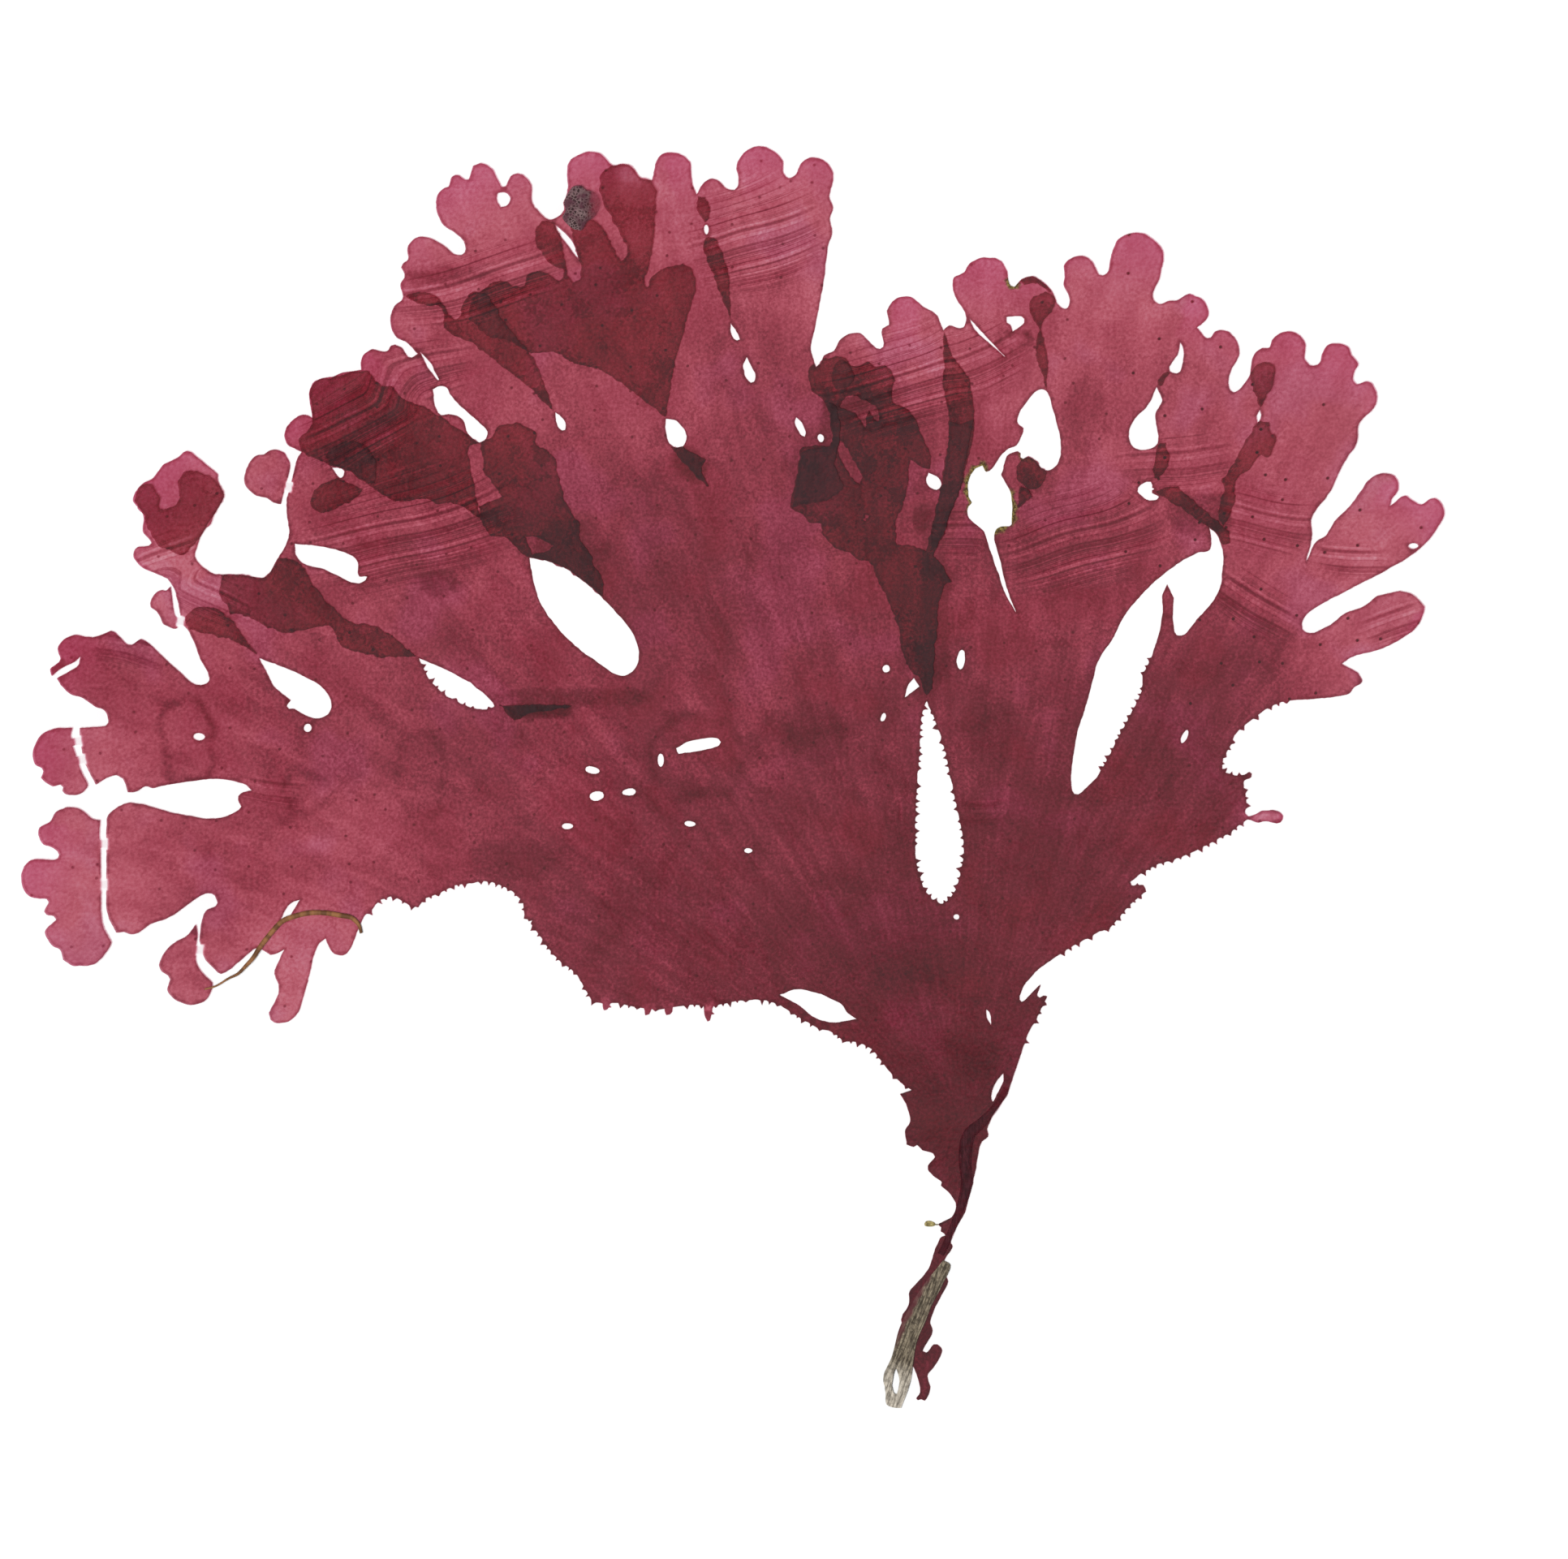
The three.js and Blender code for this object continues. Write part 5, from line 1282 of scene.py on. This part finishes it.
def flat_sheet(node: bpy.types.Object, grid: float, seed: int) -> tuple[Sheet, float]:
    """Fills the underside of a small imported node.

    Args:
        node: the node.
        grid: spacing of the points in mm.
        seed: seed of the small shifts.

    Returns:
        The sheet and the height of the node's underside above the blade's lift, in mm.
    """
    low = lowest(node)
    outline = Outline.from_node(node, lambda middle, normal: (
        normal.z < -0.7 and middle.z - lift_at(middle.x, middle.y) < low + 0.4))
    return Sheet.fill(outline.smoothed(grid), grid, seed), low


def curve_points(route: tuple[Point, ...], count: int) -> list[Point]:
    """Runs a smooth curve through picture positions.

    Args:
        route: picture positions.
        count: how many points to give.

    Returns:
        Points in mm, evenly spread over the route's stretches.
    """
    knots = [Vector(place(p)) for p in route]
    knots = [knots[0] * 2 - knots[1]] + knots + [knots[-1] * 2 - knots[-2]]
    points = []
    for i in range(count):
        u = (len(route) - 1) * i / (count - 1)
        k = min(int(u), len(route) - 2)
        t = u - k
        a, b, c, d = knots[k:k + 4]
        p = 0.5 * ((2 * b) + (c - a) * t + (2 * a - 5 * b + 4 * c - d) * t * t
                   + (3 * b - a - 3 * c + d) * t ** 3)
        points.append((p.x, p.y))
    return points


@dataclass
class Midrib:
    """The pressed midrib that thickens into the stipe. Sizes are in mm."""

    points: int = 60
    sides: int = 14
    up: float = 0.48
    half_width: float = 0.3
    swell: float = 0.45
    taper: float = 0.35
    flat: float = 0.22

    def build(self) -> bpy.types.Object:
        """Builds the midrib along its route.

        Returns:
            The piece.
        """
        line = []
        radii = []
        for i, (x, y) in enumerate(curve_points(RIB_ROUTE, self.points)):
            t = i / (self.points - 1)
            line.append(Vector((x, y, lift_at(x, y) + self.up)))
            wide = self.half_width + self.swell * smoothstep(t / 0.35)
            wide -= self.taper * smoothstep((t - 0.45) / 0.35)
            radii.append(wide * (1.0 + 0.12 * wander(t, 0.0, 9.0)))
        shell = Shell("midrib")
        shell.add_rod(line, radii, self.sides, self.flat, lambda s, q: {
            "grain": (s * 0.35, q.x * 2.5, q.z * 3.0), "cover": smoothstep(s / 7.0)})
        return shell.build([RibFinish().material()], "thallus")


@dataclass
class OldStipe:
    """The old stipe: a ridged strip with split fibres along it. Sizes are in mm."""

    node: bpy.types.Object
    ends: tuple[Point, Point] = ((1165, 1556), (1102, 1732))
    grid: float = 0.26
    bed: float = 0.12
    thick: float = 0.5
    ridge: float = 0.22
    fibres: int = 26
    points: int = 44
    spread: float = 0.75
    fibre_up: float = 0.56
    fibre_half: float = 0.07

    def __post_init__(self) -> None:
        """Finds the directions along and across the strip."""
        self.start, end = (Vector(place(p)) for p in self.ends)
        self.length = (end - self.start).length
        self.along = (end - self.start).normalized()
        self.across = Vector((-self.along.y, self.along.x))

    def values(self, x: float, y: float) -> dict:
        """Returns the shader's values at a place."""
        p = Vector((x, y)) - self.start
        side = p.dot(self.across)
        down = p.dot(self.along) / self.length
        limit = -0.8 - 1.8 * down + 0.3 * wander(x, y, 1.1, 3.0)
        return {
            "grain": (side * 3.0, p.dot(self.along) * 0.28, 0.0),
            "grime": 1.0 - 0.85 * smoothstep((down - 0.6) / 0.3),
            "skin": smoothstep((limit - side) / 0.35) * (1.0 - smoothstep((down - 0.5) / 0.2)),
        }

    def add_fibre(self, shell: Shell, route: tuple[Point, ...], low: float, rng: random.Random) -> None:
        """Adds one split fibre.

        Args:
            shell: what it is added to.
            route: the side of the fork it follows, as picture positions.
            low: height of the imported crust's underside in mm.
            rng: the seeded source of its place and size.
        """
        shift = self.spread * (rng.random() - 0.5)
        first = rng.randrange(0, 14)
        last = self.points - rng.randrange(0, 12)
        wave = rng.random() * 9.0
        line = []
        for i, (x, y) in enumerate(curve_points(route, self.points)[first:last]):
            side = shift + 0.12 * noise.noise(Vector((i * 0.16, wave, 0)))
            up = self.fibre_up + 0.1 * noise.noise(Vector((i * 0.2, wave, 4.0)))
            line.append(Vector((x + self.across.x * side, y + self.across.y * side, low + up)))
        radius = self.fibre_half + 0.06 * rng.random()
        last = len(line) - 1
        radii = [radius * (1.0 - 0.7 * abs(2.0 * i / last - 1.0) ** 3) for i in range(last + 1)]
        shell.add_rod(line, radii, 6, 0.9, lambda s, q: self.values(q.x, q.y))

    def build(self) -> bpy.types.Object:
        """Builds the strip and its fibres.

        Returns:
            The piece.
        """
        sheet, low = flat_sheet(self.node, self.grid, 31)

        def top(x: float, y: float) -> float:
            """Returns the height of the ridged upper face."""
            grain = Vector(self.values(x, y)["grain"])
            return low + self.thick + self.ridge * noise.noise(grain * 0.9)

        shell = Shell("old_stipe")
        shell.add(sheet, top, lambda x, y: low + self.bed, lambda i, x, y: self.values(x, y))
        rng = random.Random(5)
        for k in range(self.fibres):
            self.add_fibre(shell, FIBRE_ROUTES[k % 2], low, rng)
        return shell.build([FibreFinish().material()], "old_stipe", "stipe_crust")


@dataclass
class Filament:
    """The brown filament: a jointed, tapering rod. Sizes are in mm."""

    node: bpy.types.Object
    points: int = 110
    sides: int = 8
    up: float = 0.3
    end_half: float = 0.09
    swell: float = 0.2
    taper: float = 0.12

    def build(self) -> bpy.types.Object:
        """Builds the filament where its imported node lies.

        Returns:
            The piece.
        """
        low = lowest(self.node)
        line = []
        radii = []
        for i, (x, y) in enumerate(curve_points(STRAND_ROUTE, self.points)):
            t = i / (self.points - 1)
            line.append(Vector((x, y, lift_at(x, y) + low + self.up)))
            wide = self.end_half + self.swell * smoothstep(t / 0.45)
            wide -= self.taper * smoothstep((t - 0.8) / 0.2)
            radii.append(wide * (1.0 + 0.14 * math.sin(i * 0.9) * wander(i, 0.0, 0.3)))
        shell = Shell("filament")
        shell.add_rod(line, radii, self.sides, 0.8, lambda s, q: {"along": s})
        return shell.build([FilamentFinish().material()], "brown_filament", "strand")


@dataclass
class Growth:
    """The dark growth: a thin cushion of small cells, worn thin on its right. Sizes are in mm."""

    node: bpy.types.Object
    grid: float = 0.22
    bed: float = 0.06
    thick: float = 0.3
    cell: float = 0.1
    bumps: float = 0.08

    def build(self) -> bpy.types.Object:
        """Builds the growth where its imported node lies.

        Returns:
            The piece.
        """
        sheet, low = flat_sheet(self.node, self.grid, 41)
        left = min(p[0] for p in sheet.points)

        def top(x: float, y: float) -> float:
            """Returns the height of the upper face."""
            cell = self.cell * noise.cell(Vector((x * 1.8, y * 1.8, 0)))
            return lift_at(x, y) + low + self.thick + cell + self.bumps * wander(x, y, 2.2, 1.0)

        def cover(_i: int, x: float, y: float) -> dict:
            """Returns how much of the growth is left at a point."""
            worn = 0.6 * wander(x, y, 1.3, 7.0)
            return {"cover": 1.0 - 0.88 * smoothstep((x - left - 2.0 + worn) / 1.9)}

        shell = Shell("dark_growth")
        shell.add(sheet, top, lambda x, y: lift_at(x, y) + low + self.bed, cover)
        return shell.build([CrustFinish().material()], "dark_crust", "crust_patch")


@dataclass
class Bud:
    """The pale knob on its short thread. Sizes are in mm."""

    node: bpy.types.Object
    grid: float = 0.1
    middle: float = 0.25
    rim_half: float = 0.01
    round_over: float = 0.3
    thread_points: int = 24
    thread_up: float = 0.3
    thread_half: float = 0.085

    def build(self) -> bpy.types.Object:
        """Builds the knob and its thread.

        Returns:
            The piece.
        """
        sheet, low = flat_sheet(self.node, self.grid, 51)
        rim = [sheet.points[i] for i in sheet.rim_points()]

        def half(x: float, y: float) -> float:
            """Returns half the knob's height, rounded over at its rim."""
            inside = min(math.hypot(x - p[0], y - p[1]) for p in rim)
            return self.rim_half + 0.5 * min(self.round_over, inside) + 0.03 * wander(x, y, 6.0)

        shell = Shell("bud_knob")
        shell.add(sheet, lambda x, y: low + self.middle + half(x, y),
                  lambda x, y: low + self.middle - half(x, y), lambda i, x, y: {"along": 0.0})
        thread = [Vector((x, y, low + self.thread_up))
                  for x, y in curve_points(THREAD_ROUTE, self.thread_points)]
        radii = [self.thread_half - 0.002 * i for i in range(self.thread_points)]
        shell.add_rod(thread, radii, 6, 1.0, lambda s, q: {"along": s})
        return shell.build([BudFinish().material()], "pale_bud", "bud")


@dataclass
class Stage:
    """Floor, soft light and the camera, looking straight down as the picture does."""

    floor_half_m: float = 0.6
    floor_down_m: float = 0.0001
    floor_colour: str = "F7F7F7"
    sun_strength: float = 3.12
    sun_angle: float = 5.0
    sun_tilt: tuple[float, float] = (1.5, -3.0)
    fill_strength: float = 0.15
    camera_up_m: float = 0.5

    def build(self) -> None:
        """Sets up the whole stage."""
        self.floor()
        self.lights()
        self.camera()
        scene = bpy.context.scene
        scene.view_settings.view_transform = "Standard"
        scene.view_settings.look = "None"
        scene.cycles.transparent_max_bounces = 48
        scene.cycles.max_bounces = 8
        scene.cycles.diffuse_bounces = 1
        scene.cycles.glossy_bounces = 1

    def floor(self) -> None:
        """Adds the pale floor."""
        s = Shader("pale_floor")
        s.add("OutputMaterial", inputs=(s.add("BsdfDiffuse", inputs=(self.floor_colour,)),))
        corners = [(self.floor_half_m * i, self.floor_half_m * j, -self.floor_down_m)
                   for i, j in ((-1, -1), (1, -1), (1, 1), (-1, 1))]
        mesh = bpy.data.meshes.new("floor")
        mesh.from_pydata(corners, [], [(0, 1, 2, 3)])
        mesh.materials.append(s.material)
        floor = bpy.data.objects.new("floor", mesh)
        bpy.context.collection.objects.link(floor)

    def lights(self) -> None:
        """Adds an even light from above and a soft fill from all round."""
        sun = bpy.data.lights.new("scan_light", "SUN")
        sun.energy = self.sun_strength
        sun.angle = math.radians(self.sun_angle)
        lamp = bpy.data.objects.new("scan_light", sun)
        lamp.rotation_euler = (math.radians(self.sun_tilt[0]), math.radians(self.sun_tilt[1]), 0.0)
        bpy.context.collection.objects.link(lamp)
        world = bpy.data.worlds.new("soft_room")
        world.use_nodes = True
        world.node_tree.nodes["Background"].inputs[0].default_value = linear("FFFFFF")
        world.node_tree.nodes["Background"].inputs[1].default_value = self.fill_strength
        bpy.context.scene.world = world

    def camera(self) -> None:
        """Adds the camera over the middle of the picture, at the picture's scale."""
        data = bpy.data.cameras.new("camera")
        data.type = "ORTHO"
        data.ortho_scale = PHOTO_SIZE[0] * MM_PER_PIXEL * MM
        x, y = place((PHOTO_SIZE[0] / 2.0, PHOTO_SIZE[1] / 2.0))
        camera = bpy.data.objects.new("camera", data)
        camera.location = (x * MM, y * MM, self.camera_up_m)
        bpy.context.collection.objects.link(camera)
        bpy.context.scene.camera = camera


def main() -> None:
    """Builds every piece and the stage."""
    logging.basicConfig(level=logging.INFO, format="%(message)s")
    nodes = frame["nodes"]
    Blade(nodes["frond"]).build()
    Midrib().build()
    OldStipe(nodes["stipe_crust"]).build()
    Filament(nodes["strand"]).build()
    Growth(nodes["crust_patch"]).build()
    Bud(nodes["bud"]).build()
    Stage().build()


if __name__ == "__main__":
    main()
